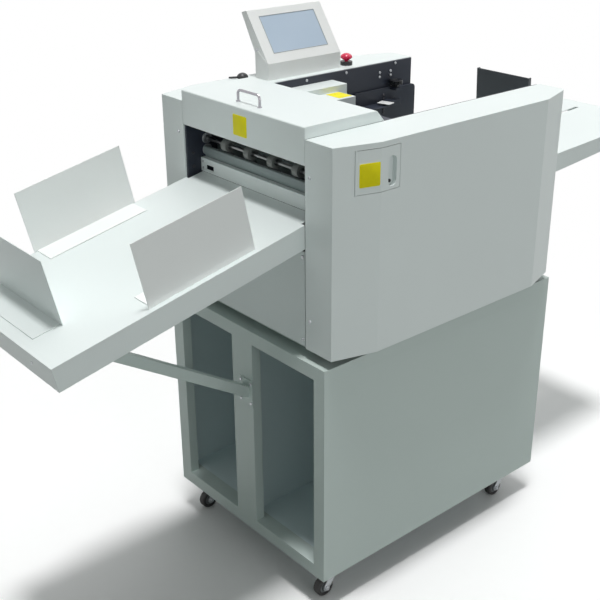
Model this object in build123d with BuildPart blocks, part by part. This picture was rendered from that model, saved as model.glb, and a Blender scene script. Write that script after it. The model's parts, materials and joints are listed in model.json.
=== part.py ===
# Automatic creasing machine with a lifting feed table, on a two-bay cabinet with castors.
# Lengths are in millimetres. X runs along the paper path, from the delivery tray at -X to the
# feed table at +X. The operator stands at -Y. Z is up, and the origin lies on the floor under
# the middle of the machine's length.
import os
from math import asin, atan2, cos, degrees, pi, radians, sin, tan

from build123d import *

os.makedirs("parts", exist_ok=True)

# Reach of the delivery tray and of the feed table, both from the cabinet's front face
tray_reach = 585.0
table_reach = 1298.0
front = (tray_reach - table_reach) / 2

# Sheet metal, gaps and cuts
sheet = 1.5
seam = 0.3
running = 0.05
press_gap = 0.02
overrun = 20.0
bend = 3.0
quarter_turn = 90.0

# Cabinet
cabinet_length = 780.0
cabinet_half = 291.0
cabinet_floor = 89.0
rail = 34.0
bay_height = 499.0
near_post = 35.0
far_post = 39.0
post_depth = 25.0
centre_post = 77.0
centre_post_y = 3.5
rear_fold = 18.0
gusset = 2.5
bay_low = cabinet_floor + rail
bay_high = bay_low + bay_height
cabinet_roof = bay_high + rail
cabinet_rear = front + cabinet_length
cabinet_middle = front + cabinet_length / 2

# Castors
castor_inset = 71.0
castor_y = 240.0
castor_trail = 27.0
castor_top = 72.0
castor_plate = 62.0
castor_plate_thickness = 3.0
castor_boss = 22.0
kingpin = 6.0
kingpin_height = 11.0
kingpin_bore_depth = 13.0
crown_radius = 20.0
crown_thickness = 6.0
wheel_radius = 25.0
wheel_width = 20.0
wheel_edge = 4.0
wheel_hub = 12.0
wheel_hub_recess = 3.0
wheel_side_gap = 1.2
fork_cheek = 2.5
fork_eye = 9.0
axle_radius = 4.0

# Head: frame plates, covers and panels, all along X from the cabinet's front face
head_floor = 680.0
cover_top = 1151.0
cover_front = 11.0
cover_rear = 765.0
cover_nose_drop = 30.0
cover_half = 330.0
cover_nose_x = 118.0
cover_tail_x = 654.0
cover_shoulder_x = 753.0
cover_shoulder_drop = 32.0
cover_tail_drop = 40.0
cover_flange = 25.0
cover_fold_radius = 6.0
inner_half = 212.0
plate = 5.0
plate_front = 15.0
plate_rear = 760.0
plate_top_drop = 1.0
base_plate = 3.0
foot_radius = 25.0
foot_inset = 66.0
foot_y = 180.0
panel_fold = 20.0
front_panel_x = 14.0
front_panel_top = 905.0
rear_panel_top = 880.0
cover_inner = inner_half + plate + seam
cover_nose_half = cover_half - cover_nose_drop
cover_shoulder_half = cover_half - cover_shoulder_drop
cover_tail_half = cover_half - cover_tail_drop
span_half = inner_half - seam
plate_low = head_floor + base_plate
plate_top = cover_top - plate_top_drop

# Paper path and its rollers
paper_level = 1038.0
nip_gap = 0.3
shaft_radius = 5.0
bush_radius = 11.0
exit_x = 72.0
exit_top_radius = 15.0
exit_low_radius = 12.0
exit_wheel_width = 18.0
infeed_x = 215.0
infeed_radius = 15.0
infeed_wheel_width = 42.0
wheel_pitch = 85.0
wheel_count = 4
wheel_window = 3.0
shaft_end = 0.5
exit_top_z = paper_level + nip_gap / 2 + exit_top_radius
exit_low_z = paper_level - nip_gap / 2 - exit_low_radius
infeed_top_z = paper_level + nip_gap / 2 + infeed_radius
infeed_low_z = paper_level - nip_gap / 2 - infeed_radius

# Belt drive in the far cover
pulley_y = 237.0
pulley_width = 10.0
pulley_radius = 20.0
pulley_rim = 1.5
motor_pulley_radius = 16.0
motor_x = 140.0
motor_z = 880.0
motor_size = 80.0
motor_length = 80.0
motor_shaft = 6.0
motor_corner = 8.0
belt_thickness = 2.5
belt_width = 8.0

# Creasing unit: bed with guide columns, beam with blade, heart-shaped cams
crease_x = 150.0
crease_stroke = 4.0
bed_width = 40.0
bed_height = 30.0
bed_drop = 2.0
groove_width = 1.6
groove_depth = 2.0
column_length = 20.0
column_height = 62.0
beam_width = 16.0
beam_low_gap = 7.0
beam_height = 40.0
beam_end_gap = 6.5
slide_gap = 0.1
blade_thickness = 1.0
blade_gap = 1.6
cam_base = 14.0
cam_width = 8.0
cam_y = 150.0
cam_steps = 10
yoke_thickness = 12.0
yoke_rim = 8.0
yoke_side_gap = 2.0
bed_top = paper_level - bed_drop
beam_low = paper_level + beam_low_gap
beam_top = beam_low + beam_height
cam_peak = cam_base + crease_stroke
cam_z = beam_top + yoke_rim + cam_base + seam
tool_window_width = 34.0
tool_window_height = 48.0

# Lid over the creasing unit, its hinge and its handle
lid_half = 216.5
lid_top = 1176.0
lid_low = 1096.0
lid_flat_end = 213.0
lid_end = 234.0
lid_lip_fold = 9.0
hinge_x = 238.0
hinge_z = 1149.0
hinge_barrel = 4.0
hinge_pin = 2.5
knuckle_length = 40.0
knuckle_y = 130.0
hinge_bar_width = 10.0
hinge_bar_height = 9.0
hinge_bar_gap = 0.5
hinge_leaf_thickness = 1.6
handle_x = 43.0
handle_y = 6.0
handle_pitch = 76.0
handle_rod = 3.0
handle_rise = 24.0
handle_corner = 8.0
handle_foot_radius = 5.0
handle_foot_height = 2.0

# Delivery tray, its bent plates and its strut
tray_start = 11.2
tray_start_z = 968.0
tray_slope = 12.06
tray_half = 216.0
tray_wall = 53.0
tray_tongue = 42.0
tray_tongue_half = 205.0
tray_tongue_wall = 18.0
guide_length = 263.0
guide_height = 144.0
guide_foot = 62.0
guide_foot_length = 250.0
far_guide_start = 147.5
far_guide_y = 216.7
near_guide_start = 124.0
near_guide_y = 203.0
end_stop_start = 520.7
end_stop_y = 28.0
strut_tube = 25.0
strut_wall = 1.5
strut_foot_z = 490.0
strut_rise = 32.13
strut_y = 12.0
strut_plate = 3.0
strut_plate_width = 50.0
strut_plate_height = 70.0
strut_head_start = 556.0
strut_head_length = 48.0

# Step box and paper guides
step_front = 53.0
step_rear = 95.0
step_low = 977.0
step_top = 1010.0
step_window_y = 176.0
step_window_width = 28.0
step_window_z = 990.5
step_window_height = 11.0
guide_front_x = 102.0
guide_front_low = 1005.0
bed_seam = 0.5
guide_rear_x = 470.0
pile_stop_low = 900.0

# Suction feeder
suction_start = 262.0
suction_end = 466.0
suction_half = 80.0
suction_low = 1048.0
suction_top = 1075.0
suction_wall = 2.0
suction_bar_x = 300.0
suction_bar_width = 15.0
suction_bar_low = 1052.0
suction_bar_top = 1067.0
belt_band = 36.0
belt_band_pitch = 52.0
belt_band_count = 3
belt_band_drop = 6.5
blower_start = 240.0
blower_tall_end = 470.0
blower_tall_y = 154.0
blower_tall_top = 1132.0
blower_low_end = 437.0
blower_low_y = 88.0
blower_low_top = 1117.0

# Feed table and its lift
table_start = 773.0
table_start_z = 949.0
table_slope = 2.83
table_half = 216.5
table_wall = 52.0
table_end_wall = 34.0
table_slot_start = 58.0
table_slot_end = 476.0
table_slot_half = 5.0
lift_plate_start = 475.0
lift_plate_half = 118.0
lift_plate_sheet = 2.0
lift_plate_wall = 20.0
lift_x = 620.0
lift_rod = 6.0
lift_rod_y = 196.0
lift_rod_low = 770.0
lift_rod_high = 965.0
lift_bracket = 24.0
lift_bracket_height = 15.0
lift_bracket_reach = 10.0
lift_beam = 30.0
lift_beam_low = 800.0
lift_sleeve = 12.0
lift_sleeve_over = 10.0
lift_nut = 14.0
lift_upright_y = 80.0
lift_upright_width = 40.0
lift_upright = 4.0
lift_motor_size = 60.0
lift_motor_height = 62.0
lift_motor_corner = 6.0
lift_screw_high = 925.0
lift_screw_depth = 15.0
lift_screw_end = 1.0

# Tail stop on the feed table
tail_start = 129.0
tail_half = 88.5
tail_y = 1.5
tail_height = 168.0
tail_sheet = 3.0
tail_flange = 10.0
tail_foot = 40.0
tail_foot_half = 30.0
tail_stem = 4.0
tail_stem_x = 20.0
tail_nut = 13.0
tail_nut_height = 14.0

# Side guides of the feed pile
pile_guide_start = 546.0
pile_block_start = 693.0
pile_guide_end = 771.0
pile_guide_face = 205.0
pile_guide_low = 975.0
pile_guide_top = 1084.0
pile_block_top = 1080.0
pile_block_thickness = 6.0
pile_block_corner = 12.0
pile_sheet = 2.0
pile_ledge_start = 634.0
pile_ledge_end = 690.0
pile_ledge_reach = 25.0
pile_ledge_low = 1040.0
pile_ledge_top = 1052.0
pile_pin = 5.0
pile_pin_x = 725.0
pile_pin_low = 1005.0
pile_pin_pitch = 50.0
pile_pin_end = cover_half - 28.0
knob_x = 684.0
knob_y = 193.0
knob_radius = 12.0
knob_height = 24.0
knob_crown = 3.0
knob_waist = 8.0
knob_waist_share = 0.3
knob_stem = 2.5
knob_stem_length = 10.0
knob_lug = 10.0
knob_lug_thickness = 6.0

# Service hatch in the near cover
hatch_start = 59.0
hatch_end = 172.0
hatch_low = 1045.0
hatch_high = 1139.0
hatch_gap = 1.0
hatch_barrel = 2.6
hatch_pin = 1.2
pull_x = 149.5
pull_width = 23.0
pull_height = 65.0
pull_low = 1052.0
pull_depth = 12.0

# Console with touch screen on the far cover
console_start = 284.7
console_width = 239.8
console_inset = 23.7
console_kink_z = 1192.0
console_peak_lean = 83.6
console_peak_z = 1311.0
console_back_lean = 102.0
console_back_z = 1305.0
console_waist_depth = 51.5
console_waist_z = 1214.6
console_foot_depth = 49.4
console_front_y = cover_inner + console_inset
console_peak_y = console_front_y + console_peak_lean
console_back_y = console_front_y + console_back_lean
console_waist_y = console_front_y + console_waist_depth
console_foot_y = console_front_y + console_foot_depth
console_wall = 3.0
console_edge = 2.5
screen_width = 178.0
screen_height = 100.0
screen_margin = 25.6
screen_depth = 3.0
screen_gap = 0.4

# Emergency stop and air control on the far cover
stop_x = 560.5
stop_inset = 39.7
stop_y = cover_inner + stop_inset
stop_base = 16.0
stop_base_height = 9.6
stop_barrel = 11.0
stop_barrel_depth = 38.0
stop_cap = 15.5
stop_cap_height = 17.0
stop_dome = 8.0
stop_rim = 4.0
stop_travel = 4.0
stop_neck = 9.0
stop_stem = 5.0
stop_stem_depth = 20.0
air_knob_x = 258.0
air_knob_inset = 19.0
air_knob_y = cover_half - air_knob_inset
air_knob_radius = 14.0
air_knob_height = 13.0
air_knob_stem = 4.0
air_knob_stem_length = 18.0
air_knob_dome = 8.0

# Mains inlet with its rocker switch, in the rear panel
inlet_y = 120.0
inlet_z = 745.0
inlet_width = 48.0
inlet_height = 60.0
inlet_flange = 4.0
inlet_flange_thickness = 2.0
inlet_depth = 30.0
socket_width = 24.0
socket_height = 16.0
socket_depth = 22.0
socket_z = 731.0
contact_width = 2.0
contact_height = 4.0
contact_length = 12.0
contact_pitch = 7.0
rocker_width = 22.0
rocker_height = 14.0
rocker_z = 760.0
rocker_depth = 12.0
rocker_proud = 2.0
rocker_gap = 2.4
rocker_tilt = 8.0
rocker_axle = 1.5


def save(builder, name):
    builder.part.label = name
    export_step(builder.part, "parts/" + name + ".step")


# A box between two places along each axis
def block(x, y, z, mode=Mode.ADD):
    with BuildSketch(Plane.XY.offset(z[0])) as footprint:
        with Locations(((x[0] + x[1]) / 2, (y[0] + y[1]) / 2)):
            Rectangle(x[1] - x[0], y[1] - y[0])
    extrude(footprint.sketch, amount=z[1] - z[0], mode=mode)


# A closed outline, extruded square to its plane
def prism(plane, points, length, mode=Mode.ADD):
    with BuildSketch(plane) as outline:
        with BuildLine():
            Polyline(*points, close=True)
        make_face()
    extrude(outline.sketch, amount=length, mode=mode)


# A folded sheet: the path is its outer line, and the thickness lies to the given side
def folded(plane, points, length, side=Side.LEFT):
    with BuildSketch(plane) as strip:
        with BuildLine():
            Polyline(*points)
            offset(amount=sheet, side=side, kind=Kind.INTERSECTION)
        make_face()
    extrude(strip.sketch, amount=length)


# A round bar along Y, Z or any other plane's normal
def rod(plane, place, radius, length, mode=Mode.ADD):
    with BuildSketch(plane) as circle:
        with Locations(place):
            Circle(radius)
    extrude(circle.sketch, amount=length, mode=mode)


# A plane across the machine whose normal points to -Y, at the given y
def across(y):
    return Plane.XZ.offset(-y)


# Cabinet: two pans, folded sides that form the front posts, a divider and a back
castor_middle = front + cabinet_length / 2
castor_spacing = cabinet_length - 2 * castor_inset

with BuildPart() as cabinet_base:
    with BuildSketch(Plane.XY.offset(cabinet_floor)):
        with Locations((cabinet_middle, 0)):
            Rectangle(cabinet_length, 2 * cabinet_half)
            Rectangle(cabinet_length - 2 * sheet, 2 * (cabinet_half - sheet), mode=Mode.SUBTRACT)
    extrude(amount=rail)
    with BuildSketch(Plane.XY.offset(bay_low - sheet)):
        with Locations((cabinet_middle, 0)):
            Rectangle(cabinet_length - sheet, 2 * cabinet_half - sheet)
    extrude(amount=sheet)
    with BuildSketch(Plane.XY.offset(cabinet_floor)):
        with Locations((castor_middle, 0)):
            with GridLocations(castor_spacing, 2 * castor_y, 2, 2):
                Rectangle(2 * castor_inset - sheet, 2 * (cabinet_half - castor_y) - sheet)
    extrude(amount=gusset)
save(cabinet_base, "cabinet_base")

with BuildPart() as cabinet_top:
    with BuildSketch(Plane.XY.offset(bay_high)):
        with Locations((cabinet_middle, 0)):
            Rectangle(cabinet_length, 2 * cabinet_half)
    extrude(amount=rail)
    with BuildSketch(Plane.XY.offset(bay_high)):
        with Locations((cabinet_middle, 0)):
            Rectangle(cabinet_length - 2 * sheet, 2 * (cabinet_half - sheet))
    extrude(amount=rail - sheet, mode=Mode.SUBTRACT)
save(cabinet_top, "cabinet_top")


# The side is -1 for the near panel and 1 for the far one
def cabinet_side(side, post):
    inner = side * (cabinet_half - post)
    outer = side * cabinet_half
    path = [
        (front + post_depth, inner),
        (front, inner),
        (front, outer),
        (cabinet_rear, outer),
        (cabinet_rear, side * (cabinet_half - rear_fold)),
    ]
    inward = Side.LEFT if side < 0 else Side.RIGHT
    folded(Plane.XY.offset(bay_low), path, bay_height, inward)


with BuildPart() as cabinet_side_near:
    cabinet_side(-1, near_post)
save(cabinet_side_near, "cabinet_side_near")

with BuildPart() as cabinet_side_far:
    cabinet_side(1, far_post)
save(cabinet_side_far, "cabinet_side_far")

with BuildPart() as cabinet_back:
    back_half = cabinet_half - sheet
    back_x = cabinet_rear - sheet
    back_path = [
        (back_x - rear_fold, -back_half),
        (back_x, -back_half),
        (back_x, back_half),
        (back_x - rear_fold, back_half),
    ]
    folded(Plane.XY.offset(bay_low), back_path, bay_height)
save(cabinet_back, "cabinet_back")

with BuildPart() as cabinet_divider:
    post_low = centre_post_y - centre_post / 2
    post_high = centre_post_y + centre_post / 2
    post_path = [
        (front + post_depth, post_high),
        (front, post_high),
        (front, post_low),
        (front + post_depth, post_low),
    ]
    folded(Plane.XY.offset(bay_low), post_path, bay_height)
    web_x = (front + sheet / 2, back_x - sheet)
    block(web_x, (centre_post_y - sheet / 2, centre_post_y + sheet / 2), (bay_low, bay_high))
save(cabinet_divider, "cabinet_divider")

# Castors: a plate with a boss, a cranked fork and a wheel at each corner
castor_places = {
    "front_near": (front + castor_inset, -castor_y),
    "front_far": (front + castor_inset, castor_y),
    "rear_near": (cabinet_rear - castor_inset, -castor_y),
    "rear_far": (cabinet_rear - castor_inset, castor_y),
}

with BuildPart() as castor_plates:
    with BuildSketch(Plane.XY.offset(cabinet_floor - castor_plate_thickness)):
        with Locations(*castor_places.values()):
            Rectangle(castor_plate, castor_plate)
    extrude(amount=castor_plate_thickness)
    with BuildSketch(Plane.XY.offset(castor_top)):
        with Locations(*castor_places.values()):
            Circle(castor_boss)
    extrude(amount=cabinet_floor - castor_plate_thickness - castor_top)
    with BuildSketch(Plane.XY.offset(castor_top)):
        with Locations(*castor_places.values()):
            Circle(kingpin + running)
    extrude(amount=kingpin_bore_depth, mode=Mode.SUBTRACT)
save(castor_plates, "castor_plates")

for corner, place in castor_places.items():
    axle_x = place[0] - castor_trail
    crown_top = castor_top - seam
    crown_low = crown_top - crown_thickness
    cheek_inner = wheel_width / 2 + wheel_side_gap
    cheek_outer = cheek_inner + fork_cheek

    with BuildPart() as castor_fork:
        rod(Plane.XY.offset(crown_low), place, crown_radius, crown_thickness)
        rod(Plane.XY.offset(crown_top), place, kingpin, kingpin_height)
        for y in (place[1] - cheek_inner, place[1] + cheek_outer):
            with BuildSketch(across(y)):
                with Locations((axle_x, wheel_radius)):
                    Circle(fork_eye)
                with Locations((place[0], crown_low + fork_cheek / 2)):
                    Rectangle(castor_boss, fork_cheek)
                make_hull()
            extrude(amount=fork_cheek)
        rod(across(place[1] + cheek_outer), (axle_x, wheel_radius), axle_radius, 2 * cheek_outer)
    save(castor_fork, "castor_fork_" + corner)

    with BuildPart() as castor_wheel:
        with BuildSketch(across(place[1] + wheel_width / 2)):
            with Locations((axle_x, wheel_radius)):
                Circle(wheel_radius)
        extrude(amount=wheel_width)
        rims = castor_wheel.edges().filter_by(GeomType.CIRCLE)
        fillet(rims, radius=wheel_edge)
        for y in (place[1] + wheel_width / 2 + overrun, place[1] - wheel_width / 2 + wheel_hub_recess):
            with BuildSketch(across(y)):
                with Locations((axle_x, wheel_radius)):
                    Circle(wheel_radius - 2 * wheel_edge)
                    Circle(wheel_hub / 2 + axle_radius, mode=Mode.SUBTRACT)
            extrude(amount=overrun + wheel_hub_recess, mode=Mode.SUBTRACT)
        with BuildSketch(across(place[1] + wheel_width)):
            with Locations((axle_x, wheel_radius)):
                Circle(axle_radius + running)
        extrude(amount=2 * wheel_width, mode=Mode.SUBTRACT)
    save(castor_wheel, "castor_wheel_" + corner)

# Head base with four feet on the cabinet's roof
with BuildPart() as head_base:
    base_x = (front + plate_front, front + plate_rear)
    block(base_x, (-inner_half - plate, inner_half + plate), (head_floor, plate_low))
    with BuildSketch(Plane.XY.offset(cabinet_roof)):
        with Locations(((base_x[0] + base_x[1]) / 2, 0)):
            with GridLocations(plate_rear - plate_front - 2 * foot_inset, 2 * foot_y, 2, 2):
                Circle(foot_radius)
    extrude(amount=head_floor - cabinet_roof)
save(head_base, "head_base")

# Frame plates carry every shaft, in bushes
shaft_places = [
    (front + exit_x, exit_top_z),
    (front + exit_x, exit_low_z),
    (front + infeed_x, infeed_top_z),
    (front + infeed_x, infeed_low_z),
    (front + crease_x, cam_z),
]
pile_pins = [
    (front + pile_pin_x, pile_pin_low),
    (front + pile_pin_x, pile_pin_low + pile_pin_pitch),
]
plate_middle = ((base_x[0] + base_x[1]) / 2, (plate_low + plate_top) / 2)


# The y is the plate's outer face on the far side, and its inner face on the near side
def frame_plate(y):
    with BuildSketch(across(y)) as outline:
        with Locations(plate_middle):
            Rectangle(plate_rear - plate_front, plate_top - plate_low)
        with Locations(*shaft_places):
            Circle(bush_radius + press_gap, mode=Mode.SUBTRACT)
        with Locations(*pile_pins):
            Circle(pile_pin + running, mode=Mode.SUBTRACT)
    extrude(outline.sketch, amount=plate)


with BuildPart() as frame_plate_near:
    frame_plate(-inner_half)
    with BuildSketch(across(-inner_half)):
        with Locations((front + crease_x, bed_top + tool_window_height / 2)):
            RectangleRounded(tool_window_width, tool_window_height, bend)
    extrude(amount=plate, mode=Mode.SUBTRACT)
save(frame_plate_near, "frame_plate_near")

with BuildPart() as frame_plate_far:
    frame_plate(inner_half + plate)
    motor_place = (front + motor_x, motor_z)
    rod(across(inner_half + plate), motor_place, motor_pulley_radius, plate, Mode.SUBTRACT)
save(frame_plate_far, "frame_plate_far")

with BuildPart() as shaft_bushes:
    for y in (-inner_half, inner_half + plate):
        with BuildSketch(across(y)) as ring:
            with Locations(*shaft_places):
                Circle(bush_radius)
                Circle(shaft_radius + running, mode=Mode.SUBTRACT)
        extrude(ring.sketch, amount=plate)
save(shaft_bushes, "shaft_bushes")


# Outline of a side cover seen from above: the nose and the tail draw in
def cover_outline(side):
    return [
        (front + cover_front, side * cover_inner),
        (front + cover_front, side * cover_nose_half),
        (front + cover_nose_x, side * cover_half),
        (front + cover_tail_x, side * cover_half),
        (front + cover_shoulder_x, side * cover_shoulder_half),
        (front + cover_rear, side * cover_tail_half),
        (front + cover_rear, side * cover_inner),
    ]


def side_cover(side):
    with BuildSketch(Plane.XY.offset(head_floor)) as outer:
        with BuildLine():
            Polyline(*cover_outline(side), close=True)
        make_face()
    with BuildSketch(Plane.XY.offset(head_floor)) as inner:
        add(outer.sketch)
        offset(amount=-sheet, kind=Kind.INTERSECTION)
    extrude(outer.sketch, amount=cover_top - head_floor)
    extrude(inner.sketch, amount=cover_top - head_floor - sheet, mode=Mode.SUBTRACT)
    window_x = (front + cover_front + cover_flange, front + cover_rear - cover_flange)
    window_y = sorted((side * (cover_inner - overrun), side * (cover_inner + 2 * sheet)))
    block(window_x, window_y, (head_floor - overrun, cover_top - cover_flange), Mode.SUBTRACT)


# Where the near cover's skin runs at a place along X
def skin_y(x):
    rise = (cover_half - cover_nose_half) / (cover_nose_x - cover_front)
    return -min(cover_half, cover_nose_half + (x - cover_front) * rise)


hatch_hinge = (front + hatch_start + hatch_gap + hatch_barrel, skin_y(hatch_start + hatch_gap + hatch_barrel) + sheet)

with BuildPart() as side_cover_near:
    side_cover(-1)
    hatch_x = (front + hatch_start, front + hatch_end)
    block(hatch_x, (-cover_half - overrun, -cover_inner - cover_flange), (hatch_low, hatch_high), Mode.SUBTRACT)
    rod(Plane.XY.offset(hatch_low - bend), hatch_hinge, hatch_pin, hatch_high - hatch_low + 2 * bend)
save(side_cover_near, "side_cover_near")

with BuildPart() as side_cover_far:
    side_cover(1)
    stop_place = (front + stop_x, stop_y)
    air_place = (front + air_knob_x, air_knob_y)
    rod(Plane.XY.offset(cover_top - sheet), stop_place, stop_barrel + press_gap, sheet, Mode.SUBTRACT)
    rod(Plane.XY.offset(cover_top - sheet), air_place, air_knob_stem + running, sheet, Mode.SUBTRACT)
save(side_cover_far, "side_cover_far")

# Hatch: a door bent like the cover's nose, rolled round its pin, with a pull cup
with BuildPart() as service_hatch:
    door_low = hatch_low + hatch_gap
    door_height = hatch_high - hatch_low - 2 * hatch_gap
    door_start = hatch_start + hatch_gap + hatch_barrel
    door_end = hatch_end - hatch_gap
    door_path = [
        (front + door_start, skin_y(door_start)),
        (front + cover_nose_x, -cover_half),
        (front + door_end, -cover_half),
    ]
    folded(Plane.XY.offset(door_low), door_path, door_height)
    rod(Plane.XY.offset(door_low), hatch_hinge, hatch_barrel, door_height)
    pull_place = (front + pull_x, pull_low + pull_height / 2)
    with BuildSketch(across(-cover_half + pull_depth)):
        with Locations(pull_place):
            SlotOverall(pull_height + 2 * sheet, pull_width + 2 * sheet, rotation=quarter_turn)
    extrude(amount=pull_depth - sheet)
    with BuildSketch(across(-cover_half + pull_depth - sheet)):
        with Locations(pull_place):
            SlotOverall(pull_height, pull_width, rotation=quarter_turn)
    extrude(amount=pull_depth, mode=Mode.SUBTRACT)
    rod(Plane.XY.offset(hatch_low), hatch_hinge, hatch_pin + running, hatch_high - hatch_low, Mode.SUBTRACT)
save(service_hatch, "service_hatch")

# Panels that close the head at the front, under the tray, and at the rear
with BuildPart() as front_panel:
    front_path = [
        (front + front_panel_x + panel_fold, span_half),
        (front + front_panel_x, span_half),
        (front + front_panel_x, -span_half),
        (front + front_panel_x + panel_fold, -span_half),
    ]
    folded(Plane.XY.offset(plate_low), front_path, front_panel_top - plate_low)
save(front_panel, "front_panel")

with BuildPart() as rear_panel:
    rear_face = front + plate_rear + sheet
    block((front + plate_rear, rear_face), (-lid_half, lid_half), (plate_low, rear_panel_top))
    for side in (-1, 1):
        fold_y = sorted((side * span_half, side * (span_half - sheet)))
        block((front + plate_rear - panel_fold, rear_face), fold_y, (plate_low, rear_panel_top))
    cut_y = (inlet_y - inlet_width / 2, inlet_y + inlet_width / 2)
    cut_z = (inlet_z - inlet_height / 2, inlet_z + inlet_height / 2)
    block((front + plate_rear - overrun, rear_face + overrun), cut_y, cut_z, Mode.SUBTRACT)
save(rear_panel, "rear_panel")

# Mains inlet: a moulded module with a socket below and the rocker's well above
with BuildPart() as power_inlet:
    module_x = rear_face - inlet_depth
    flange_y = (cut_y[0] - inlet_flange, cut_y[1] + inlet_flange)
    flange_z = (cut_z[0] - inlet_flange, cut_z[1] + inlet_flange)
    block((rear_face, rear_face + inlet_flange_thickness), flange_y, flange_z)
    body_y = (cut_y[0] + seam, cut_y[1] - seam)
    body_z = (cut_z[0] + seam, cut_z[1] - seam)
    block((module_x, rear_face + inlet_flange_thickness), body_y, body_z)
    face_x = rear_face + inlet_flange_thickness
    socket_y = (inlet_y - socket_width / 2, inlet_y + socket_width / 2)
    socket_span = (socket_z - socket_height / 2, socket_z + socket_height / 2)
    block((face_x - socket_depth, face_x + overrun), socket_y, socket_span, Mode.SUBTRACT)
    contact_x = (face_x - socket_depth, face_x - socket_depth + contact_length)
    for dy, dz in ((-1, -1), (1, -1), (0, 1)):
        y = inlet_y + dy * contact_pitch
        z = socket_z + dz * contact_height / 2
        contact_y = (y - contact_width / 2, y + contact_width / 2)
        block(contact_x, contact_y, (z - contact_height / 2, z + contact_height / 2))
    well_y = (inlet_y - rocker_width / 2, inlet_y + rocker_width / 2)
    well_z = (rocker_z - rocker_height / 2, rocker_z + rocker_height / 2)
    block((face_x - rocker_depth - rocker_proud, face_x + overrun), well_y, well_z, Mode.SUBTRACT)
    rocker_x = face_x - rocker_depth / 2
    rod(across(well_y[1] + rocker_proud), (rocker_x, rocker_z), rocker_axle + running,
        rocker_width + 2 * rocker_proud, Mode.SUBTRACT)
save(power_inlet, "power_inlet")

# Rocker: a key with two shallow faces, pressed at its upper or lower half
with BuildPart() as rocker_switch:
    key_half = rocker_height / 2 - rocker_gap
    crest = face_x + rocker_proud
    shoulder = crest - key_half * tan(radians(rocker_tilt)) * 2
    key_outline = [
        (rocker_x, rocker_z - key_half),
        (shoulder, rocker_z - key_half),
        (face_x - rocker_axle, rocker_z),
        (crest, rocker_z + key_half),
        (rocker_x, rocker_z + key_half),
        (rocker_x - rocker_axle, rocker_z),
    ]
    prism(across(well_y[1] - rocker_axle / 2), key_outline, rocker_width - rocker_axle)
    rod(across(well_y[1] + rocker_proud - seam), (rocker_x, rocker_z), rocker_axle,
        rocker_width + 2 * (rocker_proud - seam))
save(rocker_switch, "rocker_switch")

# Lid: a folded hood with a deep front lip, hung on a knuckle hinge
lid_outline = [
    (front + cover_front, cover_top + seam),
    (front + cover_front, lid_top),
    (front + lid_flat_end, lid_top),
    (front + lid_end, cover_top + sheet),
    (front + lid_end, cover_top + seam),
]
leaf_z = (hinge_z + hinge_barrel - hinge_leaf_thickness, hinge_z + hinge_barrel)

with BuildPart() as top_cover:
    prism(across(lid_half), lid_outline, 2 * lid_half)
    lip_x = (front + cover_front, front + cover_front + sheet)
    fold_edges = top_cover.edges().filter_by(Axis.Y).group_by(Axis.Z)[-1]
    fillet(fold_edges, radius=bend)
    hollow = [
        (front + cover_front + sheet, cover_top - overrun),
        (front + cover_front + sheet, lid_top - sheet),
        (front + lid_flat_end - sheet / 2, lid_top - sheet),
        (front + lid_end - sheet, cover_top + 2 * sheet),
        (front + lid_end - sheet, cover_top - overrun),
    ]
    prism(across(lid_half - sheet), hollow, 2 * (lid_half - sheet), Mode.SUBTRACT)
    block(lip_x, (-lid_half, lid_half), (lid_low, cover_top + 2 * sheet))
    block((lip_x[0], lip_x[1] + lid_lip_fold), (-span_half, span_half), (lid_low, lid_low + sheet))
    for side in (-1, 1):
        y = side * (knuckle_y - knuckle_length - seam)
        leaf_y = (y - knuckle_length / 2, y + knuckle_length / 2)
        rod(across(leaf_y[1]), (front + hinge_x, hinge_z), hinge_barrel, knuckle_length)
        block((front + lid_end - sheet, front + hinge_x), leaf_y, leaf_z)
        rod(across(leaf_y[1]), (front + hinge_x, hinge_z), hinge_pin + running, knuckle_length, Mode.SUBTRACT)
save(top_cover, "top_cover")

with BuildPart() as hinge_bar:
    bar_top = hinge_z - hinge_barrel - hinge_bar_gap
    bar_x = (front + hinge_x - hinge_bar_width / 2, front + hinge_x + hinge_bar_width / 2)
    block(bar_x, (-span_half, span_half), (bar_top - hinge_bar_height, bar_top))
    for side in (-1, 1):
        y = side * knuckle_y
        rod(across(y + knuckle_length / 2), (front + hinge_x, hinge_z), hinge_barrel, knuckle_length)
        web = (front + hinge_x - hinge_pin, front + hinge_x + hinge_pin)
        block(web, (y - knuckle_length / 2, y + knuckle_length / 2), (bar_top, hinge_z))
        pin_end = side * (knuckle_y - 3 * knuckle_length / 2 - 2 * seam)
        pin_y = max(y, pin_end)
        rod(across(pin_y), (front + hinge_x, hinge_z), hinge_pin, abs(y - pin_end))
save(hinge_bar, "hinge_bar")

with BuildPart() as cover_handle:
    handle_low = handle_y - handle_pitch / 2
    handle_high = handle_y + handle_pitch / 2
    bar_z = lid_top + handle_rise - handle_rod
    with BuildLine() as grip:
        FilletPolyline(
            (front + handle_x, handle_low, lid_top),
            (front + handle_x, handle_low, bar_z),
            (front + handle_x, handle_high, bar_z),
            (front + handle_x, handle_high, lid_top),
            radius=handle_corner,
        )
    with BuildSketch(Plane.XY.offset(lid_top)):
        with Locations((front + handle_x, handle_low)):
            Circle(handle_rod)
    sweep(path=grip.wires()[0])
    with BuildSketch(Plane.XY.offset(lid_top)):
        with Locations((front + handle_x, handle_low), (front + handle_x, handle_high)):
            Circle(handle_foot_radius)
    extrude(amount=handle_foot_height)
save(cover_handle, "cover_handle")

# Delivery tray: an inverted pan in a plane that falls away from the head
tray_out = Vector(-cos(radians(tray_slope)), 0, -sin(radians(tray_slope)))
tray_up = Vector(-sin(radians(tray_slope)), 0, cos(radians(tray_slope)))
tray_plane = Plane(origin=(front + tray_start, 0, tray_start_z), x_dir=tray_out, z_dir=tray_up)
tray_length = (tray_reach + tray_start) / cos(radians(tray_slope))


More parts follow.
